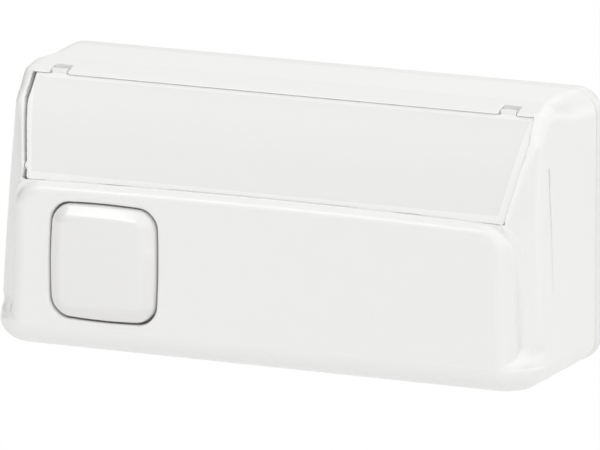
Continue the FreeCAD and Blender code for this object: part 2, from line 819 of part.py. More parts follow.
case_cuts = [
    slab("recess", window_low - cell.window_low_gap, brow_height, -cell.far_past, floor_depth, zero),
    rod("hinge_groove", "x", (cell.running_fit - hinge_x, hinge_y, hinge_height),
        (hinge_x - cell.running_fit) * 2, cell.hinge_groove),
    rod("hinge_holes", "x", (-hole_end, hinge_y, hinge_height), hole_end * 2,
        cell.hinge_radius + cell.running_fit),
    box("light_opening", (-light_half, light_half), (-bar_depth_top, -boss_depth),
        (sheet_low + cell.light_margin, kink_height)),
]


def button_square(grow, radius):
    half = button_size / 2 + grow
    return [
        (button_x - half, button_z - half, radius), (button_x + half, button_z - half, radius),
        (button_x + half, button_z + half, radius), (button_x - half, button_z + half, radius),
    ]


case_cuts.append(prism("button_opening", "XZ", button_square(cell.button_gap, cell.button_corner),
                       -front_reach, cell.past - hollow_front))
tube_front = -(seat_depth + cell.cover_tube_rise)
groove_y = cell.groove_set_back - cheek_depth_crease
groove_ends = (crease_height - cell.groove_drop, crease_height + cell.groove_rise)
tab_x = cell.half_width_top - cell.tab_inset
notch_half = cell.tab_width / 2 + cell.tab_clearance
for side, mark in SIDES:
    x = cover_screw_x * side
    case_adds.append(rod("cover_tube_" + mark, "y", (x, tube_front, cover_screw_height),
                         -tube_front - boss_depth, cell.cover_boss_radius))
    case_cuts.append(rod("cover_seat_" + mark, "y", (x, -bar_depth_top, cover_screw_height),
                         bar_depth_top - seat_depth, cell.screw_head_radius + cell.screw_clearance))
    case_cuts.append(rod("cover_hole_" + mark, "y", (x, -seat_depth - cell.past, cover_screw_height),
                         cell.cover_seat_thickness + cell.past * 2,
                         cell.screw_radius + cell.screw_clearance))
    case_cuts.append(box(
        "tab_notch_" + mark, (tab_x * side - notch_half, tab_x * side + notch_half),
        (-front_reach, cell.tab_thickness + cell.tab_room - ridge_depth_top),
        (window_top - cell.sink, window_top + cell.tab_height + cell.tab_head_room),
    ))
    grooved = [((half_width(z) - cell.groove_depth) * side, z) for z in groove_ends]
    clear = [((half_width(z) + cell.past) * side, z) for z in groove_ends[::-1]]
    case_cuts.append(prism("side_groove_" + mark, "XZ", grooved + clear,
                           groove_y - cell.groove_width / 2, groove_y + cell.groove_width / 2))
case_shell = fuse("case_shell", cut("case_hollowed", case_solid, hollow), *case_adds)
front_casing = cut("front_casing", case_shell, *case_cuts)

# window: a clear sheet with two hinge pins low down and two snap tabs on its top edge
pane_parts = [slab("pane", window_low, window_top, zero, cell.window_thickness, cell.window_gap)]
tab_y = face(window_top, zero)[0] + cell.tab_set_back
for side, mark in SIDES:
    reach = (hinge_x - cell.hinge_pin_root, hinge_x + cell.hinge_pin_length)
    start = reach[0] if side > 0 else -reach[1]
    pane_parts.append(rod("hinge_pin_" + mark, "x", (start, hinge_y, hinge_height),
                          reach[1] - reach[0], cell.hinge_radius))
    pane_parts.append(box(
        "tab_" + mark, (tab_x * side - cell.tab_width / 2, tab_x * side + cell.tab_width / 2),
        (tab_y, tab_y + cell.tab_thickness), (window_top - cell.past, window_top + cell.tab_height),
    ))
name_window = fuse("name_window", *pane_parts)

# label and its carrier lie behind the window on the floor of the recess
name_label = slab("name_label", sheet_low, window_top - cell.label_end_gap,
                  label_near + cell.running_fit, carrier_near, cell.label_margin)
label_carrier = slab("label_carrier", sheet_low, window_top - cell.carrier_end_gap,
                     carrier_near, carrier_far, cell.window_gap)

# push button: a hollow cap with a stop flange at its back and a stem in its middle
flange_front = cell.flange_gap - hollow_front
flange_back = flange_front + cell.flange_thickness
button_block = common(
    "button_block",
    prism("button_prism", "XZ", button_square(zero, cell.button_corner), -front_reach, flange_back),
    leaning_front("button_trim", cell.button_raise),
)


def cap_rim(edge):
    """An edge round the front face of the button's cap."""
    flat = edge.BoundBox.YLength < cell.button_raise.value
    return flat and middle_of(edge).y < -bar_depth_top.value


button_cap = rounded("button_cap", button_block, cell.button_round, cap_rim)
flange = prism("button_flange", "XZ", button_square(cell.flange_rim, cell.button_corner),
               flange_front, flange_back)
inner_front = cell.button_wall - cell.button_raise - bar_depth(button_z + button_size / 2)
cap_hollow = prism("button_hollow", "XZ", button_square(-cell.button_wall, cell.hollow_corner),
                   inner_front, flange_back + cell.past)
stem_front = inner_front - cell.sink
stem = rod("button_stem", "y", (button_x, stem_front, button_z),
           leaf_front - cell.stem_gap - stem_front, cell.stem_radius)
button_shell = cut("button_shell", fuse("button_outer", button_cap, flange), cap_hollow)
push_button = fuse("push_button", button_shell, stem)

# button guide: a bridge behind the button that carries its stem and its spring
guide_back = -cell.guide_depth
guide_front = guide_back - cell.guide_thickness
leg_near = button_size / 2 + cell.flange_rim + cell.guide_leg_gap
leg_far = leg_near + cell.guide_leg
leg_z = (button_z - cell.guide_leg_height / 2, button_z + cell.guide_leg_height / 2)
guide_parts = [
    box("guide_bridge", (button_x - leg_far, button_x + leg_far), (guide_front, guide_back), leg_z),
    rod("guide_hub", "y", (button_x, guide_back - cell.sink, button_z),
        cell.guide_hub_length + cell.sink, cell.guide_hub_radius),
]
for side, mark in SIDES:
    ends = (button_x + leg_near * side, button_x + leg_far * side)
    guide_parts.append(box("guide_leg_" + mark, ends[::side], (-hollow_front, guide_back), leg_z))
button_guide = cut(
    "button_guide", fuse("guide_solid", *guide_parts),
    rod("guide_bore", "y", (button_x, guide_front - cell.past, button_z),
        cell.guide_thickness + cell.guide_hub_length + cell.past * 2,
        cell.stem_radius + cell.running_fit),
)

# return spring: a steel coil round the stem, between the guide and the inside of the cap
spring_start = inner_front + cell.spring_wire / 2 + cell.running_fit
spring_length = guide_front - cell.spring_wire / 2 - spring_start
coil = doc.addObject("Part::Helix", "spring_path")
bind(coil, "Height", spring_length)
bind(coil, "Pitch", spring_length / cell.spring_turns)
bind(coil, "Radius", cell.spring_radius)
place(coil, button_x, spring_start, button_z, TURN_TO["y"])
wire_end = doc.addObject("Part::Circle", "spring_wire_end")
bind(wire_end, "Radius", cell.spring_wire / 2)
place(wire_end, button_x + cell.spring_radius, spring_start, button_z)
return_spring = doc.addObject("Part::Sweep", "return_spring")
return_spring.Sections = [wire_end]
return_spring.Spine = (coil, ["Edge1"])
return_spring.Solid = True
return_spring.Frenet = True

# cover screws: hold the casing to the base plate, hidden behind the label and its carrier
cover_screws = group("cover_screws", *[
    slotted_screw("cover_screw_" + mark, cover_screw_x * side, -seat_depth,
                  cover_screw_height, cell.cover_screw_length)
    for side, mark in SIDES
])

# lamp: a festoon bulb held by two sprung clips on a small holder behind the label
lamp_y, lamp_z = -cell.lamp_depth, crease_height + cell.lamp_rise
holder_front = base_front - cell.holder_thickness
holder_z = (lamp_z - cell.holder_half_height, lamp_z + cell.holder_half_height)
cap_end = cell.bulb_half_length + cell.cap_length
holder_near = cap_end + cell.cap_end_gap
holder_far = holder_near + cell.holder_end
clip_middle = cell.bulb_half_length + cell.cap_length / 2
clip_near = cell.cap_radius + cell.running_fit
clip_far = clip_near + cell.clip_thickness
arm_y = (holder_front - cell.clip_arm, holder_front)
holder_parts = [box("holder_base", (-holder_far, holder_far), (holder_front, base_front), holder_z)]
lamp_clips = []
caps = []
for side, mark in SIDES:
    ends = (holder_near * side, holder_far * side)
    holder_parts.append(box("holder_end_" + mark, ends[::side],
                            (holder_front - cell.holder_end_rise, base_front), holder_z))
    clip_x = (clip_middle * side - cell.clip_width / 2, clip_middle * side + cell.clip_width / 2)
    lamp_clips.append(fuse(
        "lamp_clip_" + mark,
        box("clip_floor_" + mark, clip_x, (holder_front - cell.clip_thickness, holder_front),
            (lamp_z - clip_far, lamp_z + clip_far)),
        box("clip_upper_" + mark, clip_x, arm_y, (lamp_z + clip_near, lamp_z + clip_far)),
        box("clip_lower_" + mark, clip_x, arm_y, (lamp_z - clip_far, lamp_z - clip_near)),
    ))
    start = cell.bulb_half_length if side > 0 else -cap_end
    caps.append(rod("bulb_cap_" + mark, "x", (start, lamp_y, lamp_z), cell.cap_length, cell.cap_radius))
lamp_holder = fuse("lamp_holder", *holder_parts)
lamp_caps = group("lamp_caps", *caps)
glass_end = cell.bulb_half_length + cell.past
lamp_glass = cut(
    "lamp_glass",
    rod("glass_outer", "x", (-cell.bulb_half_length, lamp_y, lamp_z),
        cell.bulb_half_length * 2, cell.bulb_radius),
    rod("glass_inner", "x", (-glass_end, lamp_y, lamp_z), glass_end * 2,
        cell.bulb_radius - cell.bulb_wall),
)
lamp_filament = rod("lamp_filament", "x", (-cell.bulb_half_length, lamp_y, lamp_z),
                    cell.bulb_half_length * 2, cell.filament_radius)

NODES = [
    base_plate, back_gasket, cable_grommet, front_casing, cover_screws, name_window, name_label,
    label_carrier, push_button, button_guide, return_spring, contact_block, moving_contact,
    fixed_contact, contact_rivets, upper_terminal, lower_terminal, terminal_screws, lamp_holder,
    *lamp_clips, lamp_caps, lamp_glass, lamp_filament,
]
doc.recompute()
for item in doc.Objects:
    if "Invalid" in item.State or "Error" in item.State:
        raise RuntimeError("%s failed: %s" % (item.Name, item.State))
for item in NODES:
    item.Label = item.Name
    if item.Shape.isNull() or not item.Shape.isValid():
        raise RuntimeError("%s has no valid shape" % item.Name)
os.makedirs("parts", exist_ok=True)
for item in NODES:
    item.Shape.exportStep("parts/%s.step" % item.Label)
    print(item.Label, len(item.Shape.Solids), round(item.Shape.Volume, 2))
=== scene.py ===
import math

import bmesh
import bpy
import numpy as np
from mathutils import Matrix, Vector


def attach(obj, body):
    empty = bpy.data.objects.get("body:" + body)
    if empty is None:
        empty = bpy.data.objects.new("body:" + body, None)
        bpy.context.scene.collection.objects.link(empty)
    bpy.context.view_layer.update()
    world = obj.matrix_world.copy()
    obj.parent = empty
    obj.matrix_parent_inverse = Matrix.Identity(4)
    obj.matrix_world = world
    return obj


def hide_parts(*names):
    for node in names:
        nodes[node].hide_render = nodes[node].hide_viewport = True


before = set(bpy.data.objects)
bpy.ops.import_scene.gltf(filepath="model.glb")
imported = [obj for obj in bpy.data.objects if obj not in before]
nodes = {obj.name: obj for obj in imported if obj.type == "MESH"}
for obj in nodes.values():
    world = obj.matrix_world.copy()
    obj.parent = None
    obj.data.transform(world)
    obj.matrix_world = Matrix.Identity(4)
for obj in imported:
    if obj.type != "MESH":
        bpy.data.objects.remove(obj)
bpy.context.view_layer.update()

# Camera: a long lens to the right of the part and a little above it, the photograph's view.
# Its direction, distance and aim follow from the lines of the casing's straight edges.
VIEW_AZIMUTH, VIEW_ELEVATION = 24.67, 12.4
VIEW_DISTANCE, VIEW_LENS = 1.512, 591.8
VIEW_AIM = (0.00131, -0.014, -0.00135)

azimuth, elevation = math.radians(VIEW_AZIMUTH), math.radians(VIEW_ELEVATION)
back = Vector((math.sin(azimuth) * math.cos(elevation), -math.cos(azimuth) * math.cos(elevation),
               math.sin(elevation)))
camera = bpy.data.objects.new("camera", bpy.data.cameras.new("camera"))
camera.data.lens = VIEW_LENS
camera.data.clip_start, camera.data.clip_end = 0.05, 20
camera.location = Vector(VIEW_AIM) + back * VIEW_DISTANCE
camera.rotation_euler = (-back).to_track_quat("-Z", "Y").to_euler()
bpy.context.scene.collection.objects.link(camera)
bpy.context.scene.camera = camera
bpy.context.scene.view_settings.view_transform = "Standard"


# Studio light: an even pale room with a grey screen at the right, one up behind the part, and soft
# lamps that give the rounded edges their highlights.
# The room looks plain white to the camera.
class Knot:
    """A shader or field socket that can be used in sums."""

    def __init__(self, tree, socket):
        self.tree, self.socket = tree, socket

    def maths(self, operation, *others):
        node = self.tree.nodes.new("ShaderNodeMath")
        node.operation = operation
        for place, value in enumerate((self, *others)):
            if isinstance(value, Knot):
                self.tree.links.new(value.socket, node.inputs[place])
            else:
                node.inputs[place].default_value = value
        return Knot(self.tree, node.outputs[0])

    def __add__(self, other):
        return self.maths("ADD", other)

    def __radd__(self, other):
        return self.maths("ADD", other)

    def __sub__(self, other):
        return self.maths("SUBTRACT", other)

    def __rsub__(self, other):
        return self.maths("MULTIPLY", -1.0).maths("ADD", other)

    def __mul__(self, other):
        return self.maths("MULTIPLY", other)

    def __rmul__(self, other):
        return self.maths("MULTIPLY", other)

    def __truediv__(self, other):
        return self.maths("DIVIDE", other)

    def __rtruediv__(self, other):
        return self.maths("POWER", -1.0).maths("MULTIPLY", other)


def add_node(tree, kind, output, **inputs):
    """A node with its inputs set by name, constants or sockets, and one of its outputs."""
    node = tree.nodes.new(kind)
    for key, value in inputs.items():
        if hasattr(node, key):
            setattr(node, key, value)
            continue
        socket = node.inputs[int(key[1:]) if key[1:].isdigit() else key.replace("_", " ")]
        if isinstance(value, Knot):
            tree.links.new(value.socket, socket)
        else:
            socket.default_value = value
    return Knot(tree, node.outputs[output])


ROOM_LEVEL, ROOM_RIGHT, ROOM_LEFT = 0.873, -0.1, 1.52
ROOM_BACK, ROOM_BEHIND, ROOM_RISE = -0.28, 1.05, 0.61
# Each screen has its direction, the cosine at its edge and its darkness in the middle.
SCREENS = (((0.93, -0.363, -0.05), 0.86, 1.0), ((0.2, 0.89, 0.4), 0.9, 0.8))
world = bpy.data.worlds.new("studio")
bpy.context.scene.world = world
world.use_nodes = True
room = world.node_tree
room.nodes.clear()
path = room.nodes.new("ShaderNodeLightPath")
seen = Knot(room, path.outputs["Is Camera Ray"]).maths(
    "MAXIMUM", Knot(room, path.outputs["Is Transmission Ray"]))
direction = add_node(room, "ShaderNodeTexCoord", "Generated")
across = add_node(room, "ShaderNodeSeparateXYZ", 0, Vector=direction)
behind = add_node(room, "ShaderNodeSeparateXYZ", 1, Vector=direction)
height = add_node(room, "ShaderNodeSeparateXYZ", 2, Vector=direction)
plain = across * ROOM_RIGHT + behind * ROOM_BACK + ROOM_LEVEL
plain = plain + across.maths("MINIMUM", 0.0) * ROOM_LEFT
up = height.maths("MAXIMUM", 0.0)
plain = plain + behind.maths("MAXIMUM", 0.0) * (1.0 - up) * ROOM_BEHIND
plain = (plain + up * ROOM_RISE).maths("MAXIMUM", 0.0)
for place, edge, dark in SCREENS:
    screen = add_node(room, "ShaderNodeVectorMath", 1, operation="DOT_PRODUCT", _0=direction,
                      _1=place)
    screen = ((screen - edge) * (1 / (1 - edge))).maths("MAXIMUM", 0.0)
    plain = plain * (1.0 - screen * dark)
strength = seen + plain * (1.0 - seen)
light = add_node(room, "ShaderNodeBackground", 0, Color=(1, 1, 1, 1), Strength=strength)
room.links.new(light.socket, room.nodes.new("ShaderNodeOutputWorld").inputs["Surface"])

# Each lamp has its width and height, its power and its place. It points at the part.
LAMPS = {"top_lamp": ((0.24, 0.10), 0.31, (-0.25, -0.393, 0.40)),
         "edge_lamp": ((0.10, 0.30), 0.11, (0.60, 0.13, -0.03)),
         "right_lamp": ((0.15, 0.10), 0.35, (0.34, -0.49, -0.12))}
for name, (size, power, place) in LAMPS.items():
    lamp = bpy.data.lights.new(name, "AREA")
    lamp.energy, lamp.shape = power, "RECTANGLE"
    lamp.size, lamp.size_y = size
    lamp_object = bpy.data.objects.new(name, lamp)
    lamp_object.location = place
    lamp_object.rotation_euler = (-Vector(place)).to_track_quat("-Z", "Y").to_euler()
    bpy.context.scene.collection.objects.link(lamp_object)

# Floor: a plain pale ground well below the part.
# It is white to the camera apart from the soft shadow that it keeps.
FLOOR_HEIGHT, FLOOR_REACH, FLOOR_SHADE, FLOOR_GLOW = -0.075, 3.0, 0.90, 0.98
corners = [(x * FLOOR_REACH, y * FLOOR_REACH, FLOOR_HEIGHT)
           for x, y in ((-1, -1), (1, -1), (1, 1), (-1, 1))]
ground = bpy.data.meshes.new("floor")
ground.from_pydata(corners, [], [(0, 1, 2, 3)])
floor = bpy.data.objects.new("floor", ground)
bpy.context.scene.collection.objects.link(floor)
paint = bpy.data.materials.new("floor_white")
paint.use_nodes = True
tree = paint.node_tree
tree.nodes.clear()
path = tree.nodes.new("ShaderNodeLightPath")
seen = Knot(tree, path.outputs["Is Camera Ray"])
for ray in ("Is Glossy Ray", "Is Transmission Ray"):
    seen = seen.maths("MAXIMUM", Knot(tree, path.outputs[ray]))
matt = add_node(tree, "ShaderNodeBsdfDiffuse", 0, Color=(*[FLOOR_SHADE] * 3, 1))
glow = add_node(tree, "ShaderNodeEmission", 0, Color=(1, 1, 1, 1), Strength=1.0)
both = add_node(tree, "ShaderNodeMixShader", 0, _0=seen * FLOOR_GLOW, _1=matt, _2=glow)
tree.links.new(both.socket, tree.nodes.new("ShaderNodeOutputMaterial").inputs["Surface"])
ground.materials.append(paint)


# Casing: one glossy white moulding, screwed to the base plate behind the label.
# Its outside is described by a field in millimetres, x right, z up and d out from the wall.
HALF_TOP, HALF_BOTTOM, HALF_BACK, HALF_HEIGHT = 43.8, 45.88, 45.65, 21.35
SIDE_RUN, SIDE_LEAN = 18.2, 0.995
CASE_CORNER, BROW_CORNER, EDGE, LIP_ROUND, BACK_ROUND = 4.0, 1.5, 0.8, 3.8, 0.12
CORNER_DEPTHS, CORNER_HEIGHTS = (9.0, 18.0), (13.5, 17.35)
# The brow is the strip above the window, and the ridges and cheeks flank the window.
BACK_DEPTH, TOP_FACE_DEPTH, BROW_HEIGHT, BROW_DEPTH = 2.4, 14.6, 20.25, 18.2
BROW_ACROSS, BROW_UP, BROW_LENGTH, BROW_EASE, TOP_EASE = 1.1, 3.6, 3.764, 0.25, 0.2
RIDGE_HEIGHTS = (-22.4, -17.3, -15.2, -7.0, 4.5, 16.0, 22.35)
RIDGE_INSETS = (3.4, 3.4, 2.2, 2.1, 3.9, 1.3, 1.5)
RIDGE_DEPTHS = (26.95, 26.85, 24.5, 24.35, 25.6, 21.3, 16.7)
CHEEK_DEPTHS = (25.95, 25.85, 22.66, 22.45, 21.7, 20.6, 16.3)
CHEEK_START, RIDGE_LEAN, FACET_LEAN, FACET_EASE = 6.0, 0.97, 1.05, 0.45
# The bar carries the button. A thin pad surrounds it and gives the double line at its corner.
BAR_DEPTH, BAR_SLOPE, BAR_TOP, BAR_DATUM, BAR_HEIGHT = 26.75, 0.03095, 5.2, 4.5, 26.55
BAR_HALF, BAR_CORNER, BAR_ROUNDS, BAR_ROUND_HEIGHTS = (42.8, 42.0), 5.0, (3.1, 2.4), (-2.0, 3.0)
ARCH, ARCH_HALF = 0.6, 42.0
PAD_REACH, PAD_DEPTH, PAD_ROUND, PAD_HEIGHTS = 0.8, 0.2, 0.15, (-3.0, 1.0)
FOOT_HEIGHTS, FOOT_ROUNDS = (-17.0, -15.0), (0.8, 0.08)
# The window's sloping plane bends at the kink. Its recess lies between the ridges.
KINK_HEIGHT, KINK_DEPTH, KINK_EASE = 16.0, 21.3, 1.5
WINDOW_SLOPE, WINDOW_COSINE, TOP_SLOPE, TOP_COSINE = 0.3739, 0.9366, 0.7294, 0.8079
RECESS_HEIGHTS, RECESS_INSETS = (4.5, 16.0, 22.35), (4.45, 1.75, 1.95)
RECESS_LOW, RECESS_DROP, RECESS_LEAN, RECESS_DEPTH = 4.96, 0.35, 0.35, 3.6
MOUTH_HEIGHTS, MOUTH_ROUNDS, MOUTH_RIGHT = (5.5, 7.0, 17.0, 19.5), (0.02, 0.2, 0.2, 0.05), 0.03
HINGE_HEIGHT, HINGE_DEPTH, HINGE_GROOVE = 6.2, 23.78, 1.84
GROOVE_ARCH, GROOVE_END, PIN_HOLE, PIN_HOLE_END = 0.95, 0.05, 0.73, 0.15
# Inside: the walls, the screw pillars, the slot for the lamp's light and the snap notches.
WALL, INNER_CORNER, REAR_FRONT, ROOM_TOP, ROOM_FRONT, UNDER_WINDOW = 2.2, 1.8, 18.4, 4.5, 24.55, 5.2
PILLAR_X, PILLAR_Z, PILLAR_RADIUS, PILLAR_BACK, PILLAR_FRONT = 35.61, 11.8, 3.6, 11.6, 17.5
HEAD_ROOM, HEAD_SEAT, SHAFT_ROOM, SHAFT_START = 2.9, 15.0, 1.7, 9.0
LIGHT_HALF, LIGHT_LOW, LIGHT_HIGH = 29.11, 9.25, 16.0
NOTCH_X, NOTCH_Z, NOTCH_BACK, NOTCH_HALF, NOTCH_ROUND = 37.7, 20.15, 16.1, (1.5, 0.65), 0.15
# The button's outline and opening, and the shallow groove on the sides.
BUTTON_X, BUTTON_Z, BUTTON_HALF, BUTTON_CORNER, BUTTON_BOW = -26.05, -7.34, 9.0, 3.0, 0.35
BUTTON_GAP, OPENING_SHIFT, OPENING_BACK, OPENING_ROUND = 0.28, 0.1, 23.0, 0.4
SIDE_GROOVE, SIDE_GROOVE_HALF, SIDE_GROOVE_ROUND = (17.8, 2.3), (0.25, 9.7), 0.12
SIDE_GROOVE_HEIGHTS, SIDE_GROOVE_DEPTHS = (-7.4, 12.0), (0.1, 0.28)
MM = 0.001


def soft_max(a, b, r):
    """The larger of two distances, with a rounded edge of radius r where they meet."""
    return np.minimum(-r, np.maximum(a, b)) + np.hypot(np.maximum(a + r, 0), np.maximum(b + r, 0))


def soft_min(a, b, r):
    return -soft_max(-a, -b, r)


def eased_max(a, b, k):
    """The larger of two distances whose faces meet at a blunt angle, eased over a reach k."""
    return np.maximum(a, b) + np.maximum(k - np.abs(a - b), 0) ** 2 / (4 * k)


def eased(at, knots, values, ease=0.8):
    """A value along a line of knots, with its corners eased."""
    steps = np.linspace(-ease, ease, 7)
    return sum(np.interp(at + s, knots, values) for s in steps) / len(steps)


def half_width(z):
    return HALF_BOTTOM + (HALF_TOP - HALF_BOTTOM) * (z + HALF_HEIGHT) / (2 * HALF_HEIGHT)


def side_width(d, z):
    """Half the casing's width: square at the back, narrower towards the top in front."""
    return HALF_BACK + (half_width(z) - HALF_BACK) * (d - BACK_DEPTH) / SIDE_RUN


def bar_front(z):
    return BAR_DEPTH + BAR_SLOPE * (BAR_DATUM - z)


def bar_edge(z):
    """Half the bar's width, which narrows a little towards its top."""
    return BAR_HALF[0] + (BAR_HALF[1] - BAR_HALF[0]) * (z + HALF_HEIGHT) / BAR_HEIGHT


def arch(x):
    """The bar's top edge falls a little towards its ends."""
    return -ARCH * np.minimum(np.abs(x) / ARCH_HALF, 1.0) ** 2


def window_plane(d, z):
    """Distance in front of the sloping plane that joins the ridges."""
    low = (d - KINK_DEPTH - WINDOW_SLOPE * (KINK_HEIGHT - z)) * WINDOW_COSINE
    high = (d - BROW_DEPTH - TOP_SLOPE * (BROW_HEIGHT - z)) * TOP_COSINE
    return eased_max(low, high, KINK_EASE)


def recess_half(z):
    return half_width(z) - np.interp(z, RECESS_HEIGHTS, RECESS_INSETS)


def button_square(x, z, grow):
    """Distance out from the button's outline, whose sides bow out a little."""
    u, w = np.abs(x - BUTTON_X), np.abs(z - BUTTON_Z)
    half = BUTTON_HALF + grow
    across = u - half + BUTTON_BOW * np.minimum(w / half, 1.2) ** 2
    along = w - half + BUTTON_BOW * np.minimum(u / half, 1.2) ** 2
    return soft_max(across, along, BUTTON_CORNER)


def rod_field(a, b, radius):
    """Distance out from a round rod, given the two distances across its axis."""
    return np.hypot(a, b) - radius


def rounded_mouth(z, right, heights, rounds):
    """The edge radius round the window, nearly sharp on the right where the gap is a hairline."""
    radius = np.interp(z, heights, rounds)
    return np.where(right, np.minimum(radius, MOUTH_RIGHT), radius)


def casing_outside(x, d, z):
    """The outer skin: ridges, facets, bar, pad, brow and rounded corners."""
    ax = np.abs(x)
    side = (ax - side_width(d, z)) * SIDE_LEAN
    ridge = half_width(z) - eased(z, RIDGE_HEIGHTS, RIDGE_INSETS)
    ridge_depth = eased(z, RIDGE_HEIGHTS, RIDGE_DEPTHS)
    fall = (ridge_depth - eased(z, RIDGE_HEIGHTS, CHEEK_DEPTHS)) / (half_width(z) - ridge)
    front = np.where(z > CHEEK_START, window_plane(d, z), (d - ridge_depth) * RIDGE_LEAN)
    facet = (d - ridge_depth + fall * (ax - ridge)) / np.sqrt(FACET_LEAN + fall * fall)
    cheek = eased_max(front, facet, FACET_EASE)
    bar_outline = soft_max(ax - bar_edge(z), z - BAR_TOP - arch(x), BAR_CORNER)
    bar_round = np.interp(z, BAR_ROUND_HEIGHTS, BAR_ROUNDS)
    bar = soft_max(bar_outline, d - bar_front(z), bar_round)
    pad_depth = PAD_DEPTH * np.interp(z, PAD_HEIGHTS, (0.0, 1.0))
    pad = soft_max(bar_outline - PAD_REACH, cheek - pad_depth, PAD_ROUND)
    body = soft_min(np.minimum(cheek, pad), bar, np.interp(z, FOOT_HEIGHTS, FOOT_ROUNDS))
    brow = ((d - TOP_FACE_DEPTH) * BROW_ACROSS + (z - HALF_HEIGHT) * BROW_UP) / BROW_LENGTH
    body = eased_max(eased_max(body, brow, BROW_EASE), z - HALF_HEIGHT, TOP_EASE)
    body = soft_max(body, -HALF_HEIGHT - z, LIP_ROUND)
    edge = np.interp(d, CORNER_DEPTHS, (CASE_CORNER, BROW_CORNER))
    edge = np.where(z > 0, edge, CASE_CORNER) * np.interp(np.abs(z), CORNER_HEIGHTS, (0.0, 1.0))
    return soft_max(soft_max(side, body, np.maximum(edge, EDGE)), BACK_DEPTH - d, BACK_ROUND)


def window_recess(x, d, z):
    """What is cut for the window: its recess, the hinge's groove and the holes for the pins."""
    ax = np.abs(x)
    plane = window_plane(d, z)
    low = RECESS_LOW + arch(x)
    high = BROW_HEIGHT - RECESS_DROP + RECESS_LEAN * np.minimum(plane, 1.0)
    recess = np.maximum(np.maximum(ax - recess_half(z), -(plane + RECESS_DEPTH)),
                        np.maximum(low - z, z - high))
    across, up, end = d - HINGE_DEPTH, z - HINGE_HEIGHT, ax - recess_half(HINGE_HEIGHT)
    groove = np.maximum(rod_field(across, up, HINGE_GROOVE - arch(x) * GROOVE_ARCH),
                        end + GROOVE_END)
    pin_hole = np.maximum(rod_field(across, up, PIN_HOLE), end - PIN_HOLE_END)
    return recess, groove, pin_hole


def casing_field(x, d, z):
    ax = np.abs(x)
    recess, groove, pin_hole = window_recess(x, d, z)
    shell = soft_max(casing_outside(x, d, z), -recess,
                     rounded_mouth(z, x > 0, MOUTH_HEIGHTS, MOUTH_ROUNDS))
    shell = np.maximum(np.maximum(shell, -groove), -pin_hole)

    inside = soft_max(ax - half_width(z) + WALL, np.abs(z) - HALF_HEIGHT + WALL, INNER_CORNER)
    rear = np.maximum(inside, d - REAR_FRONT)
    bar_room = np.maximum(np.maximum(ax - bar_edge(z) + WALL, z - ROOM_TOP), d - ROOM_FRONT)
    bar_room = np.maximum(bar_room, -HALF_HEIGHT + WALL - z)
    hollow = np.maximum(np.minimum(rear, bar_room), window_plane(d, z) + UNDER_WINDOW)
    shell = np.maximum(shell, -hollow)
    screw = rod_field(ax - PILLAR_X, z - PILLAR_Z, 0.0)
    pillar = np.maximum(screw - PILLAR_RADIUS, np.maximum(PILLAR_BACK - d, d - PILLAR_FRONT))
    shell = np.minimum(shell, pillar)
    shell = np.maximum(shell, -np.maximum(screw - HEAD_ROOM, HEAD_SEAT - d))
    shell = np.maximum(shell, -np.maximum(screw - SHAFT_ROOM, SHAFT_START - d))
    light_slot = np.maximum(np.maximum(ax - LIGHT_HALF, PILLAR_BACK - d),
                            np.maximum(LIGHT_LOW - z, z - LIGHT_HIGH))
    shell = np.maximum(shell, -light_slot)

    opening = np.maximum(button_square(x - OPENING_SHIFT, z, BUTTON_GAP), OPENING_BACK - d)
    shell = soft_max(shell, -opening, OPENING_ROUND)
    notch = np.maximum(np.abs(ax - NOTCH_X) - NOTCH_HALF[0],
                       np.maximum(np.abs(z - NOTCH_Z) - NOTCH_HALF[1], NOTCH_BACK - d))
    shell = soft_max(shell, -notch, NOTCH_ROUND)
    groove = np.maximum(np.abs(d - SIDE_GROOVE[0]) - SIDE_GROOVE_HALF[0],
                        np.abs(z - SIDE_GROOVE[1]) - SIDE_GROOVE_HALF[1])
    groove_depth = np.interp(z, SIDE_GROOVE_HEIGHTS, SIDE_GROOVE_DEPTHS)
    groove = np.maximum(groove, side_width(SIDE_GROOVE[0], z) - groove_depth - ax)
    return soft_max(shell, -groove, SIDE_GROOVE_ROUND)


def net(field, xs, ys, zs):
    """A closed mesh of the surface where a field is zero, by surface nets on a grid."""
    values = field(xs[:, None, None], ys[None, :, None], zs[None, None, :])
    inside = values < 0
    shape = np.array(values.shape)
    axes = (xs, ys, zs)
    total = np.zeros((int(np.prod(shape - 1)), 4))
    strides = np.array([(shape[1] - 1) * (shape[2] - 1), shape[2] - 1, 1])
    quads = []
    for axis in range(3):
        other = [(axis + 1) % 3, (axis + 2) % 3]
        lower = [slice(None)] * 3
        upper = [slice(None)] * 3
        lower[axis], upper[axis] = slice(None, -1), slice(1, None)
        start, stop = inside[tuple(lower)], inside[tuple(upper)]
        crossing = np.argwhere(start != stop)
        ends = crossing.copy()
        ends[:, axis] += 1
        a, b = values[tuple(crossing.T)], values[tuple(ends.T)]
        share = a / (a - b)
        points = np.stack([axes[k][crossing[:, k]] for k in range(3)], 1)
        points[:, axis] += share * (axes[axis][ends[:, axis]] - axes[axis][crossing[:, axis]])
        cells = []
        for step in ((1, 1), (0, 1), (0, 0), (1, 0)):
            cell = crossing.copy()
            cell[:, other[0]] -= step[0]
            cell[:, other[1]] -= step[1]
            flat = cell @ strides
            cells.append(flat)
            for k in range(3):
                total[:, k] += np.bincount(flat, points[:, k], len(total))
            total[:, 3] += np.bincount(flat, minlength=len(total))
        ring = np.stack(cells, 1)
        outward = start[tuple(crossing.T)]
        quads.append(np.where(outward[:, None], ring, ring[:, ::-1]))
    quads = np.concatenate(quads)
    used, faces = np.unique(quads, return_inverse=True)
    points = total[used, :3] / total[used, 3:]
    return points, faces.reshape(-1, 4)


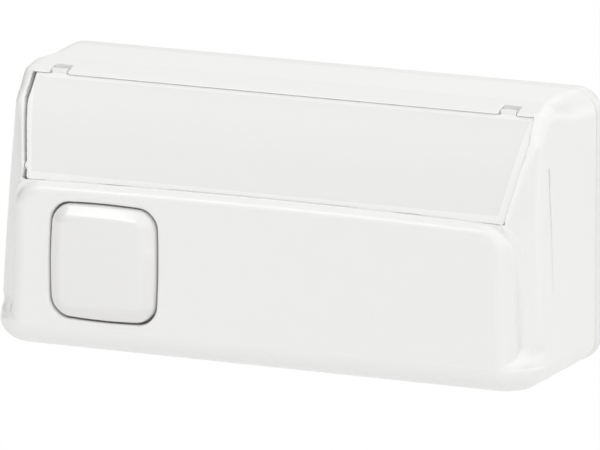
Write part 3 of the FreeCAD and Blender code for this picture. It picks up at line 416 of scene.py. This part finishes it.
def slope(field, points, step=0.02):
    """The field's value and gradient at points."""
    columns = []
    for k in range(3):
        move = np.zeros(3)
        move[k] = step
        columns.append((field(*(points + move).T) - field(*(points - move).T)) / (2 * step))
    return field(*points.T), np.stack(columns, 1)


def pulled(field, points, rounds=3, reach=0.25):
    """Points moved onto the surface along the field's gradient."""
    for _ in range(rounds):
        value, gradient = slope(field, points)
        size = np.maximum((gradient ** 2).sum(1), 0.05)
        move = -gradient * (value / size)[:, None]
        length = np.maximum(np.linalg.norm(move, axis=1), 1e-9)
        points = points + move * np.minimum(1.0, reach / length)[:, None]
    return points


def numbers(items, name, width):
    """One property of a mesh's items as an array."""
    values = np.zeros(len(items) * width, np.float32)
    items.foreach_get(name, values)
    return values.reshape(-1, width).astype(float) if width > 1 else values


def outward(field, spots):
    """The field's outward directions at places in the scene's axes."""
    _, gradient = slope(field, spots * (1, -1, 1), 0.03)
    return gradient * (1, -1, 1) / np.maximum(np.linalg.norm(gradient, axis=1), 1e-9)[:, None]


# Cosines below which a corner counts as beside a sharp edge, or keeps its flat face's direction,
# and the share of the way into the face at which its slope is taken.
NEAR_EDGE, ASTRAY, INWARD = 0.88, 0.7, 0.4


def quad_mesh(name, points, faces):
    """A mesh of quads from places in the field's axes."""
    mesh = bpy.data.meshes.new(name)
    place = np.stack([points[:, 0], -points[:, 1], points[:, 2]], 1) * MM
    mesh.vertices.add(len(place))
    mesh.vertices.foreach_set("co", place.astype(np.float32).ravel())
    mesh.loops.add(faces.size)
    mesh.loops.foreach_set("vertex_index", faces[:, ::-1].astype(np.int32).ravel())
    mesh.polygons.add(len(faces))
    mesh.polygons.foreach_set("loop_start", np.arange(0, faces.size, 4, dtype=np.int32))
    mesh.update(calc_edges=True)
    mesh.validate()
    return mesh


def moulded(name, field, xs, ds, zs, most):
    """A piece made from a field, thinned to a number of triangles, shaded by the field's slope.
    Beside a sharp edge the slope is taken within the face."""
    points, faces = net(field, xs, ds, zs)
    mesh = quad_mesh(name, pulled(field, points), faces)
    piece = bpy.data.objects.new(name, mesh)
    bpy.context.scene.collection.objects.link(piece)
    if len(faces) * 2 > most:
        thin = piece.modifiers.new("thin", "DECIMATE")
        thin.ratio = most / (len(faces) * 2)
        thinned = bpy.data.meshes.new_from_object(
            piece.evaluated_get(bpy.context.evaluated_depsgraph_get()))
        piece.modifiers.clear()
        piece.data = thinned
        bpy.data.meshes.remove(mesh)
        mesh = thinned
        mesh.name = name
    spots = numbers(mesh.vertices, "co", 3) / MM
    corner = numbers(mesh.loops, "vertex_index", 1).astype(int)
    sides = numbers(mesh.polygons, "loop_total", 1).astype(int)
    face = np.repeat(np.arange(len(mesh.polygons)), sides)
    flat = numbers(mesh.polygon_normals, "vector", 3)[face]
    middle = numbers(mesh.polygons, "center", 3)[face] / MM
    normals = outward(field, spots)[corner]
    astray = (normals * flat).sum(1) < NEAR_EDGE
    inner = spots[corner[astray]] * (1 - INWARD) + middle[astray] * INWARD
    normals[astray] = outward(field, inner)
    astray = (normals * flat).sum(1) < ASTRAY
    normals[astray] = flat[astray]
    mesh.polygons.foreach_set("use_smooth", np.ones(len(mesh.polygons), bool))
    mesh.normals_split_custom_set(normals)
    return piece


GRID_SHIFT = 0.013


def grid(low, high, step, fine=(), fine_step=0.15):
    """Grid places along an axis, closer together in the fine stretches and off round numbers."""
    places = [low]
    while places[-1] < high:
        at = places[-1]
        close = any(a <= at < b for a, b in fine)
        places.append(at + (fine_step if close else step))
    return np.array(places) + GRID_SHIFT


def finished(piece, body, material_slot, *replaced):
    """Put a piece on its body in place of the plain CAD nodes."""
    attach(piece, body)
    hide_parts(*replaced)


coarse = 0.3
casing = moulded("casing", casing_field, grid(-47, 47, coarse, ((36.4, 41.6),)),
                 grid(1.8, 28.6, coarse, ((17.3, 18.3), (24.7, 25.5))),
                 grid(-22.2, 22.2, coarse, ((4.3, 5.3),)), 185000)
finished(casing, "casing", "casing_white", "front_casing")


BROAD_SCALE, FINE_SCALE, TONE_SPREAD, FLECK, GLOSS_SPREAD = 90.0, 1400.0, 0.07, 0.008, 0.06


def between(tree, factor, colour, darker, lighter):
    """A colour that goes from a darker to a lighter tone of itself with a factor."""
    mix = tree.nodes.new("ShaderNodeMix")
    mix.data_type = "RGBA"
    mix.inputs["A"].default_value = (*[c * darker for c in colour], 1)
    mix.inputs["B"].default_value = (*[min(c * lighter, 0.98) for c in colour], 1)
    tree.links.new(factor.socket, mix.inputs["Factor"])
    return mix.outputs["Result"]


def plastic(name, colour, roughness, coat):
    """Moulded plastic with a faint change of tone and gloss over its skin."""
    material = bpy.data.materials.new(name)
    material.use_nodes = True
    tree = material.node_tree
    shader = tree.nodes["Principled BSDF"]
    shader.inputs["IOR"].default_value = 1.5
    shader.inputs["Coat Weight"].default_value = coat
    shader.inputs["Coat Roughness"].default_value = 0.04
    place = add_node(tree, "ShaderNodeTexCoord", "Object")
    broad = add_node(tree, "ShaderNodeTexNoise", 0, Vector=place, Scale=BROAD_SCALE, Detail=2.0)
    fine = add_node(tree, "ShaderNodeTexNoise", 0, Vector=place, Scale=FINE_SCALE, Detail=2.0)
    tone = (broad - 0.5) * FLECK * 2.0 + (fine - 0.5) * FLECK
    skin = between(tree, tone + 0.5, colour, 1 - TONE_SPREAD, 1 + TONE_SPREAD)
    tree.links.new(skin, shader.inputs["Base Color"])
    tree.links.new(((broad - 0.5) * GLOSS_SPREAD + roughness).socket, shader.inputs["Roughness"])
    return material


CASING_COLOUR, CASING_ROUGHNESS, CASING_COAT = (0.828, 0.825, 0.816), 0.30, 0.3
casing.data.materials.append(
    plastic("casing_plastic", CASING_COLOUR, CASING_ROUGHNESS, CASING_COAT))


# Push button: a hollow white cap with a pillowed front, a stop flange and a stem on its back.
# It slides in the bar's square opening.
PILLOW_WIDTH, PILLOW_DROP, PILLOW_ROUND, PILLOW_EASE = 2.0, 1.15, 0.35, 0.3
RAISED, CROWN = 1.2, 0.25
CAP_BACK, CAP_WALL, CAP_INSIDE, FLANGE_REACH, FLANGE_FRONT = 23.25, 1.6, 26.4, 0.5, 24.45
STEM_RADIUS, STEM_BACK, STEM_FRONT, STEM_FILLET = 2.5, 8.2, 26.9, 0.3
BUTTON_COLOUR, BUTTON_ROUGHNESS, BUTTON_COAT = (0.80, 0.796, 0.787), 0.22, 0.4


def button_field(x, d, z):
    outline = button_square(x, z, 0.0)
    u, w = (x - BUTTON_X) / BUTTON_HALF, (z - BUTTON_Z) / BUTTON_HALF
    front = bar_front(z) + RAISED - CROWN * (u * u + w * w)
    bevel = outline * PILLOW_DROP + (d - front + PILLOW_DROP) * PILLOW_WIDTH
    bevel = bevel / math.hypot(PILLOW_DROP, PILLOW_WIDTH)
    cap = eased_max(soft_max(outline, bevel, PILLOW_ROUND), d - front, PILLOW_EASE)
    cap = np.maximum(cap, CAP_BACK - d)
    flange = np.maximum(button_square(x, z, FLANGE_REACH),
                        np.maximum(d - FLANGE_FRONT, CAP_BACK - d))
    shell = np.minimum(cap, flange)
    shell = np.maximum(shell, -np.maximum(button_square(x, z, -CAP_WALL), d - CAP_INSIDE))
    stem = np.maximum(rod_field(x - BUTTON_X, z - BUTTON_Z, STEM_RADIUS),
                      np.maximum(STEM_BACK - d, d - STEM_FRONT))
    return soft_min(shell, stem, STEM_FILLET)


coarse = 0.2
button = moulded("button_cap", button_field, grid(-36.0, -16.0, coarse),
                 grid(7.6, 28.8, coarse), grid(-17.4, 2.8, coarse), 90000)
finished(button, "button", "button_white", "push_button")
button.data.materials.append(
    plastic("button_plastic", BUTTON_COLOUR, BUTTON_ROUGHNESS, BUTTON_COAT))


# Window: a milky sheet of clear plastic over the label, with its surface satin.
# Two pins at its low edge are its hinge, and two snap tabs on its top edge hold it shut.
SHEET_SET_BACK, SHEET_HALF, SHEET_ROUND = 1.15, 0.8, 0.3
SHEET_LOW, SHEET_DROP, SHEET_LEAN, SHEET_CENTRE = 4.9, 0.46, 0.35, 0.35
GAP_RIGHT, GAP_LEFT, GAP_HEIGHTS, GAP_WIDER = -0.06, 0.32, (15.0, 17.0), (0.0, 0.2)
RIM_HEIGHTS, RIM_ROUNDS = (5.5, 7.0, 18.0, 19.5), (0.02, 0.2, 0.2, 0.08)
PIN_RADIUS, PIN_REACH, PIN_ROOT = 0.7, 0.08, 2.0
TAB_HALF, TAB_DEPTH, TAB_HALF_DEPTH, TAB_LOW, TAB_TOP, TAB_ROUND = 1.3, 17.5, 0.45, 19.2, 20.5, 0.2


def window_field(x, d, z):
    ax = np.abs(x)
    plane = window_plane(d, z)
    sheet = np.abs(plane + SHEET_SET_BACK) - SHEET_HALF
    low = SHEET_LOW + arch(x)
    high = BROW_HEIGHT - SHEET_DROP + SHEET_LEAN * (plane + SHEET_CENTRE)
    gap = np.where(x > 0, GAP_RIGHT, GAP_LEFT + np.interp(z, GAP_HEIGHTS, GAP_WIDER))
    outline = soft_max(ax - recess_half(z) + gap, np.maximum(low - z, z - high), SHEET_ROUND)
    sheet = soft_max(sheet, outline, rounded_mouth(z, x > 0, RIM_HEIGHTS, RIM_ROUNDS))
    pin_end = recess_half(HINGE_HEIGHT)
    pins = np.maximum(rod_field(d - HINGE_DEPTH, z - HINGE_HEIGHT, PIN_RADIUS),
                      np.maximum(ax - pin_end - PIN_REACH, pin_end - PIN_ROOT - ax))
    tabs = np.maximum(np.abs(d - TAB_DEPTH) - TAB_HALF_DEPTH, z - TAB_TOP)
    tabs = soft_max(np.abs(ax - NOTCH_X) - TAB_HALF, tabs, TAB_ROUND)
    tabs = np.maximum(tabs, TAB_LOW - z)
    return np.minimum(sheet, np.minimum(pins, tabs))


coarse = 0.25
window = moulded("clear_window", window_field, grid(-42.4, 42.4, coarse, ((36.4, 41.6),)),
                 grid(15.6, 25.8, coarse, ((24.5, 25.4),)),
                 grid(3.6, 20.9, coarse, ((4.3, 5.4), (19.6, 20.6))), 120000)
finished(window, "window", "window_clear", "name_window")
# A border shows round the sheet's clearer middle. HAZE is how milky the middle is.
BORDER_LOW, BORDER_TOP, BORDER_BLUR, HAZE = 8.7, 18.95, 0.1, 0.93
RIM_HALF, RIM_SLOPE, RIM_TOP, RIM_LOW = 38.0, 0.18, 19.1, 5.7
SHEET_MIDDLE, LOW_START, HIGH_START, PRINT_SHARPNESS = -1.5, 27.28, 32.97, 20.0
SHEET_COLOUR, SHEET_ROUGHNESS, SHEET_GLOSS, SHEET_IOR = (0.84, 0.84, 0.83), 0.45, 0.25, 1.45
window.data.materials.append(plastic("window_sheet", SHEET_COLOUR, SHEET_ROUGHNESS, 0.0))
tree = window.data.materials[0].node_tree
border = tree.nodes["Principled BSDF"].outputs["BSDF"]
place = add_node(tree, "ShaderNodeTexCoord", 3)
reach = add_node(tree, "ShaderNodeSeparateXYZ", 0, Vector=place).maths("ABSOLUTE") * (1 / MM)
depth = add_node(tree, "ShaderNodeSeparateXYZ", 1, Vector=place) * (-1 / MM)
level = add_node(tree, "ShaderNodeSeparateXYZ", 2, Vector=place) * (1 / MM)
rim = (reach - level * RIM_SLOPE - RIM_HALF) * (1 / BORDER_BLUR)
rim = rim.maths("MAXIMUM", (level - RIM_TOP) * (1 / BORDER_BLUR))
rim = rim.maths("MAXIMUM", (RIM_LOW - level) * (1 / BORDER_BLUR))
frame_line = (level - BORDER_TOP).maths("MAXIMUM", BORDER_LOW - level) * (1 / BORDER_BLUR)
low = (depth + level * WINDOW_SLOPE - LOW_START) * WINDOW_COSINE
high = (depth + level * TOP_SLOPE - HIGH_START) * TOP_COSINE
printed = (SHEET_MIDDLE - low.maths("MAXIMUM", high)) * PRINT_SHARPNESS
outside = frame_line.maths("MINIMUM", printed).maths("MAXIMUM", rim)
outside = outside.maths("MAXIMUM", HAZE).maths("MINIMUM", 1.0)
rear = Knot(tree, tree.nodes.new("ShaderNodeNewGeometry").outputs["Backfacing"])
mirror = add_node(tree, "ShaderNodeFresnel", 0, IOR=SHEET_IOR) * (1.0 - rear)
through = add_node(tree, "ShaderNodeBsdfTransparent", 0, Color=(0.99, 0.99, 0.985, 1))
gloss = add_node(tree, "ShaderNodeBsdfGlossy", 0, Color=(1, 1, 1, 1), Roughness=SHEET_GLOSS)
clear = add_node(tree, "ShaderNodeMixShader", 0, _0=mirror, _1=through, _2=gloss)
both = add_node(tree, "ShaderNodeMixShader", 0, _0=outside, _1=clear, _2=Knot(tree, border))
tree.links.new(both.socket, tree.nodes["Material Output"].inputs["Surface"])


# Cover screws: two plated steel cheese-head screws with slots, behind the label.
# They hold the casing to the pillars of the base plate.
TARNISH_SCALE, SCRATCH_SCALE, METAL_DARK, METAL_LIGHT = 500.0, 6000.0, 0.8, 1.15
SCRATCH_GLOSS, TARNISH_GLOSS = 0.12, 0.1
CROWN_POWER, CROWN_DROP, TIP_RATE, TIP_START, THREAD_RUNOUT = 6.0, 0.16, 900.0, 0.55, 0.0006


def metal(name, colour, roughness):
    """Plated or drawn metal with fine scratches and slight tarnish."""
    material = bpy.data.materials.new(name)
    material.use_nodes = True
    tree = material.node_tree
    shader = tree.nodes["Principled BSDF"]
    shader.inputs["Metallic"].default_value = 1.0
    place = add_node(tree, "ShaderNodeTexCoord", "Object")
    tarnish = add_node(tree, "ShaderNodeTexNoise", 0, Vector=place, Scale=TARNISH_SCALE, Detail=4.0)
    scratch = add_node(tree, "ShaderNodeTexNoise", 0, Vector=place, Scale=SCRATCH_SCALE, Detail=2.0)
    skin = between(tree, tarnish * 0.6 + scratch * 0.4, colour, METAL_DARK, METAL_LIGHT)
    tree.links.new(skin, shader.inputs["Base Color"])
    gloss = scratch * SCRATCH_GLOSS + tarnish * TARNISH_GLOSS
    gloss = gloss + (roughness - (SCRATCH_GLOSS + TARNISH_GLOSS) / 2)
    tree.links.new(gloss.socket, shader.inputs["Roughness"])
    return material


def grown(name, build, sizes, material_slot, material):
    """A piece grown by a node tree whose sizes are its named inputs, put in for the CAD node."""
    group = bpy.data.node_groups.new(name, "GeometryNodeTree")
    entry = group.nodes.new("NodeGroupInput")
    for label, value in sizes.items():
        kind = "NodeSocketInt" if isinstance(value, int) else "NodeSocketFloat"
        group.interface.new_socket(label, in_out="INPUT", socket_type=kind)
    group.interface.new_socket("Geometry", in_out="OUTPUT", socket_type="NodeSocketGeometry")
    given = {label: Knot(group, entry.outputs[label]) for label in sizes}
    solid = add_node(group, "GeometryNodeRealizeInstances", 0, Geometry=build(group, given))
    solid = add_node(group, "GeometryNodeSetMaterial", 0, Geometry=solid, Material=material)
    group.links.new(solid.socket, group.nodes.new("NodeGroupOutput").inputs[0])
    piece = bpy.data.objects.new(name, bpy.data.meshes.new(name))
    bpy.context.scene.collection.objects.link(piece)
    grow = piece.modifiers.new("grow", "NODES")
    grow.node_group = group
    for item in group.interface.items_tree:
        if item.in_out == "INPUT":
            grow[item.identifier] = sizes[item.name]
    view = bpy.context.evaluated_depsgraph_get()
    piece.data = bpy.data.meshes.new_from_object(piece.evaluated_get(view))
    piece.modifiers.clear()
    piece.data.name = name
    while piece.data.materials[0] is None:
        piece.data.materials.pop(index=0)
    finished(piece, "casing", material_slot, name.removesuffix("_piece"))


def turned(tree, length, radius, sides):
    """A solid turned round the Z axis, from z 0 up to a length, with a radius at each height."""
    line = add_node(tree, "GeometryNodeCurvePrimitiveLine", 0,
                    _1=add_node(tree, "ShaderNodeCombineXYZ", 0, Z=length))
    line = add_node(tree, "GeometryNodeResampleCurve", 0, Curve=line, Count=150)
    ring = add_node(tree, "GeometryNodeCurvePrimitiveCircle", 0, Resolution=sides, Radius=1.0)
    return add_node(tree, "GeometryNodeCurveToMesh", 0, Curve=line, Profile_Curve=ring,
                    Scale=radius, Fill_Caps=True)


def slotted_screws(tree, given):
    """Screws with a helical thread, a rounded cheese head and a slot, in a row."""
    shaft, head = given["Shaft length"], given["Head height"]
    along = add_node(tree, "GeometryNodeSplineParameter", "Length")
    share = ((along - shaft) / head).maths("MAXIMUM", 0.0)
    crown = given["Head radius"] * (1.0 - share.maths("POWER", CROWN_POWER) * CROWN_DROP)
    tip = (along * TIP_RATE + TIP_START).maths("MINIMUM", 1.0)
    above = along.maths("GREATER_THAN", shaft)
    radius = crown * above + given["Shaft radius"] * tip * (1.0 - above)
    body = turned(tree, shaft + head, radius, 40)
    here = add_node(tree, "GeometryNodeInputPosition", 0)
    x, y, z = [add_node(tree, "ShaderNodeSeparateXYZ", k, Vector=here) for k in range(3)]
    turn = y.maths("ARCTAN2", x) * (1 / math.tau) + z / given["Pitch"]
    tooth = (turn.maths("FRACT") - 0.5).maths("ABSOLUTE") * 2.0
    in_thread = (shaft - THREAD_RUNOUT - z).maths("GREATER_THAN", 0.0)
    cut = tooth * in_thread * given["Thread depth"] * -1.0
    out = (x * x + y * y).maths("SQRT").maths("MAXIMUM", 0.0001)
    shift = add_node(tree, "ShaderNodeCombineXYZ", 0, X=x / out * cut, Y=y / out * cut)
    body = add_node(tree, "GeometryNodeSetPosition", 0, Geometry=body, Offset=shift)
    blade = add_node(tree, "ShaderNodeCombineXYZ", 0, X=given["Head radius"] * 3.0,
                     Y=given["Slot width"], Z=given["Slot depth"] * 2.0)
    blade = add_node(tree, "GeometryNodeMeshCube", 0, Size=blade)
    top = add_node(tree, "ShaderNodeCombineXYZ", 0, Z=shaft + head)
    blade = add_node(tree, "GeometryNodeTransform", 0, Geometry=blade, Translation=top)
    body = add_node(tree, "GeometryNodeMeshBoolean", 0, operation="DIFFERENCE",
                    solver="MANIFOLD", _0=body, _1=blade)
    return in_row(tree, given, body)


def in_row(tree, given, body):
    """A turned piece pointing out from the wall, repeated along a row, each turned at random."""
    first = add_node(tree, "ShaderNodeCombineXYZ", 0, X=given["First X"], Y=given["First Y"],
                     Z=given["First Z"])
    step = add_node(tree, "ShaderNodeCombineXYZ", 0, X=given["Step X"], Y=given["Step Y"],
                    Z=given["Step Z"])
    places = add_node(tree, "GeometryNodeMeshLine", 0, Count=given["Count"],
                      Start_Location=first, Offset=step)
    spin = add_node(tree, "FunctionNodeRandomValue", 1, _2=0.0, _3=math.tau, Seed=7)
    tilt = given["First tilt"] + add_node(tree, "GeometryNodeInputIndex", 0) * given["Step tilt"]
    aim = add_node(tree, "ShaderNodeCombineXYZ", 0, X=tilt, Z=0.0)
    body = add_node(tree, "GeometryNodeInstanceOnPoints", 0, Points=places, Instance=body,
                    Rotation=aim)
    turn = add_node(tree, "ShaderNodeCombineXYZ", 0, Z=spin)
    return add_node(tree, "GeometryNodeRotateInstances", 0, Instances=body, Rotation=turn)


steel = metal("plated_steel", (0.66, 0.66, 0.64), 0.28)
grown("cover_screws_piece", slotted_screws, {
    "Count": 2, "First X": 0.03561, "First Y": -0.006, "First Z": 0.0118,
    "Step X": -0.07122, "Step Y": 0.0, "Step Z": 0.0,
    "First tilt": math.pi / 2, "Step tilt": 0.0,
    "Shaft length": 0.009, "Shaft radius": 0.0015, "Head height": 0.0018, "Head radius": 0.0027,
    "Slot width": 0.0008, "Slot depth": 0.0008, "Pitch": 0.0007, "Thread depth": 0.00022,
}, "plated_screw", steel)

# Terminal screws: the same kind of plated steel screw, shorter.
# They clamp the two bell wires in the terminals.
grown("terminal_screws_piece", slotted_screws, {
    "Count": 2, "First X": -0.00635, "First Y": -0.0078, "First Z": -0.01174,
    "Step X": 0.0, "Step Y": 0.0005, "Step Z": 0.0088,
    "First tilt": math.pi / 2, "Step tilt": 0.0,
    "Shaft length": 0.0036, "Shaft radius": 0.0015, "Head height": 0.0018, "Head radius": 0.0027,
    "Slot width": 0.0008, "Slot depth": 0.0008, "Pitch": 0.0005, "Thread depth": 0.0002,
}, "plated_screw", steel)


# Contact rivets: two domed silver contacts, one on the fixed strip and one on the spring leaf,
# face to face, where the current is made and broken.
DOME_POWER, DOME_DROP = 3.0, 0.55


def domed_rivets(tree, given):
    along = add_node(tree, "GeometryNodeSplineParameter", "Length")
    share = along / given["Height"]
    radius = given["Radius"] * (1.0 - share.maths("POWER", DOME_POWER) * DOME_DROP)
    return in_row(tree, given, turned(tree, given["Height"], radius, 40))


grown("contact_rivets_piece", domed_rivets, {
    "Count": 2, "First X": -0.03055, "First Y": -0.0059, "First Z": -0.00734,
    "Step X": 0.0, "Step Y": -0.0017, "Step Z": 0.0,
    "First tilt": math.pi / 2, "Step tilt": math.pi,
    "Radius": 0.0013, "Height": 0.0005,
}, "silver", metal("contact_silver", (0.84, 0.83, 0.80), 0.2))


# Return spring: drawn steel wire wound round the button's stem, between the guide and the cap.
# It pushes the button out; here it has its length at rest.
def coil(tree, given):
    """Round wire wound into a coil about the Z axis, then turned and moved to its place."""
    path = add_node(tree, "GeometryNodeCurveSpiral", 0, Resolution=given["Turn steps"],
                    Rotations=given["Turns"], Start_Radius=given["Coil radius"],
                    End_Radius=given["Coil radius"], Height=given["Height"])
    ring = add_node(tree, "GeometryNodeCurvePrimitiveCircle", 0, Resolution=given["Wire sides"],
                    Radius=given["Wire radius"])
    wire = add_node(tree, "GeometryNodeCurveToMesh", 0, Curve=path, Profile_Curve=ring,
                    Fill_Caps=True)
    centre = add_node(tree, "ShaderNodeCombineXYZ", 0, X=given["X"], Y=given["Y"], Z=given["Z"])
    turn = add_node(tree, "ShaderNodeCombineXYZ", 0, X=given["Tilt X"], Y=given["Tilt Y"])
    return add_node(tree, "GeometryNodeTransform", 0, Geometry=wire, Translation=centre,
                    Rotation=turn)


grown("return_spring_piece", coil, {
    "Turns": 4.5, "Turn steps": 96, "Wire sides": 20, "Coil radius": 0.0039, "Wire radius": 0.0003,
    "Height": 0.01029, "X": -0.02605, "Y": -0.0158, "Z": -0.00734,
    "Tilt X": math.pi / 2, "Tilt Y": 0.0,
}, "spring_steel", metal("spring_wire", (0.52, 0.53, 0.54), 0.3))

# Lamp filament: fine tungsten wire coiled along the lamp's axis.
# The two end caps hold it.
grown("lamp_filament_piece", coil, {
    "Turns": 70.0, "Turn steps": 12, "Wire sides": 6, "Coil radius": 0.00014,
    "Wire radius": 0.00005, "Height": 0.0249, "X": -0.01245, "Y": -0.0106, "Z": 0.0093,
    "Tilt X": 0.0, "Tilt Y": math.pi / 2,
}, "spring_steel", metal("tungsten", (0.35, 0.35, 0.36), 0.4))


# Inner and rear pieces: mouldings, stampings and rubber parts, softened along their edges as
# tools leave them. They are fixed to the base plate with clips, rivets and fits.
MERGE_REACH, WELD_REACH = 2e-6, 1e-6
FLAT_ANGLE, SHARP_ANGLE, SHADE_ANGLE = math.radians(1.0), math.radians(50), math.radians(32)


def softened(node, width, material_slot, material):
    """The CAD node's shape with its flat faces joined and its sharp edges rounded."""
    shape = bmesh.new()
    shape.from_mesh(nodes[node].data)
    shape.transform(nodes[node].matrix_world)
    bmesh.ops.remove_doubles(shape, verts=shape.verts, dist=MERGE_REACH)
    bmesh.ops.dissolve_limit(shape, angle_limit=FLAT_ANGLE, verts=shape.verts, edges=shape.edges)
    sharp = [e for e in shape.edges if e.is_manifold and e.calc_face_angle() > SHARP_ANGLE]
    bmesh.ops.bevel(shape, geom=sharp, offset=width * MM, segments=2, profile=0.5,
                    affect="EDGES", clamp_overlap=True)
    bmesh.ops.remove_doubles(shape, verts=shape.verts, dist=WELD_REACH)
    bmesh.ops.triangulate(shape, faces=shape.faces)
    bmesh.ops.recalc_face_normals(shape, faces=shape.faces)
    mesh = bpy.data.meshes.new(node + "_piece")
    shape.to_mesh(mesh)
    shape.free()
    mesh.polygons.foreach_set("use_smooth", np.ones(len(mesh.polygons), bool))
    mesh.set_sharp_from_angle(angle=SHADE_ANGLE)
    mesh.materials.append(material)
    piece = bpy.data.objects.new(node + "_piece", mesh)
    bpy.context.scene.collection.objects.link(piece)
    finished(piece, "casing", material_slot, node)


white = plastic("base_plastic", (0.80, 0.797, 0.787), 0.38, 0.0)
rubber = plastic("seal_foam", (0.035, 0.035, 0.037), 0.75, 0.0)
opal = plastic("opal_plastic", (0.85, 0.85, 0.84), 0.4, 0.1)
card = plastic("label_card", (0.85, 0.85, 0.84), 0.6, 0.0)
inner = plastic("inner_plastic", (0.72, 0.72, 0.71), 0.45, 0.0)
dark = plastic("block_plastic", (0.10, 0.095, 0.09), 0.4, 0.1)
brass = metal("rolled_brass", (0.78, 0.60, 0.32), 0.3)
bronze = metal("spring_bronze", (0.72, 0.48, 0.30), 0.3)
silver = metal("cap_plating", (0.80, 0.80, 0.78), 0.25)
glass = plastic("lamp_tube_glass", (0.97, 0.98, 0.98), 0.05, 0.0)
glass.node_tree.nodes["Principled BSDF"].inputs["Transmission Weight"].default_value = 1.0
# Each node with the width of its rounded edges in millimetres, its slot and its material.
for node, width, slot, material in (
        ("base_plate", 0.12, "base_grey", white),
        ("back_gasket", 0.1, "seal_rubber", rubber),
        ("cable_grommet", 0.1, "seal_rubber", rubber),
        ("label_carrier", 0.1, "carrier_opal", opal),
        ("name_label", 0.03, "label_paper", card),
        ("button_guide", 0.12, "inner_plastic", inner),
        ("contact_block", 0.15, "block_plastic", dark),
        ("lamp_holder", 0.15, "block_plastic", dark),
        ("fixed_contact", 0.06, "brass", brass),
        ("moving_contact", 0.04, "spring_bronze", bronze),
        ("terminal_upper", 0.12, "brass", brass),
        ("terminal_lower", 0.12, "brass", brass),
        ("lamp_clip_left", 0.05, "spring_bronze", bronze),
        ("lamp_clip_right", 0.05, "spring_bronze", bronze),
        ("lamp_caps", 0.15, "silver", silver),
        ("lamp_glass", 0.05, "lamp_glass", glass)):
    softened(node, width, slot, material)
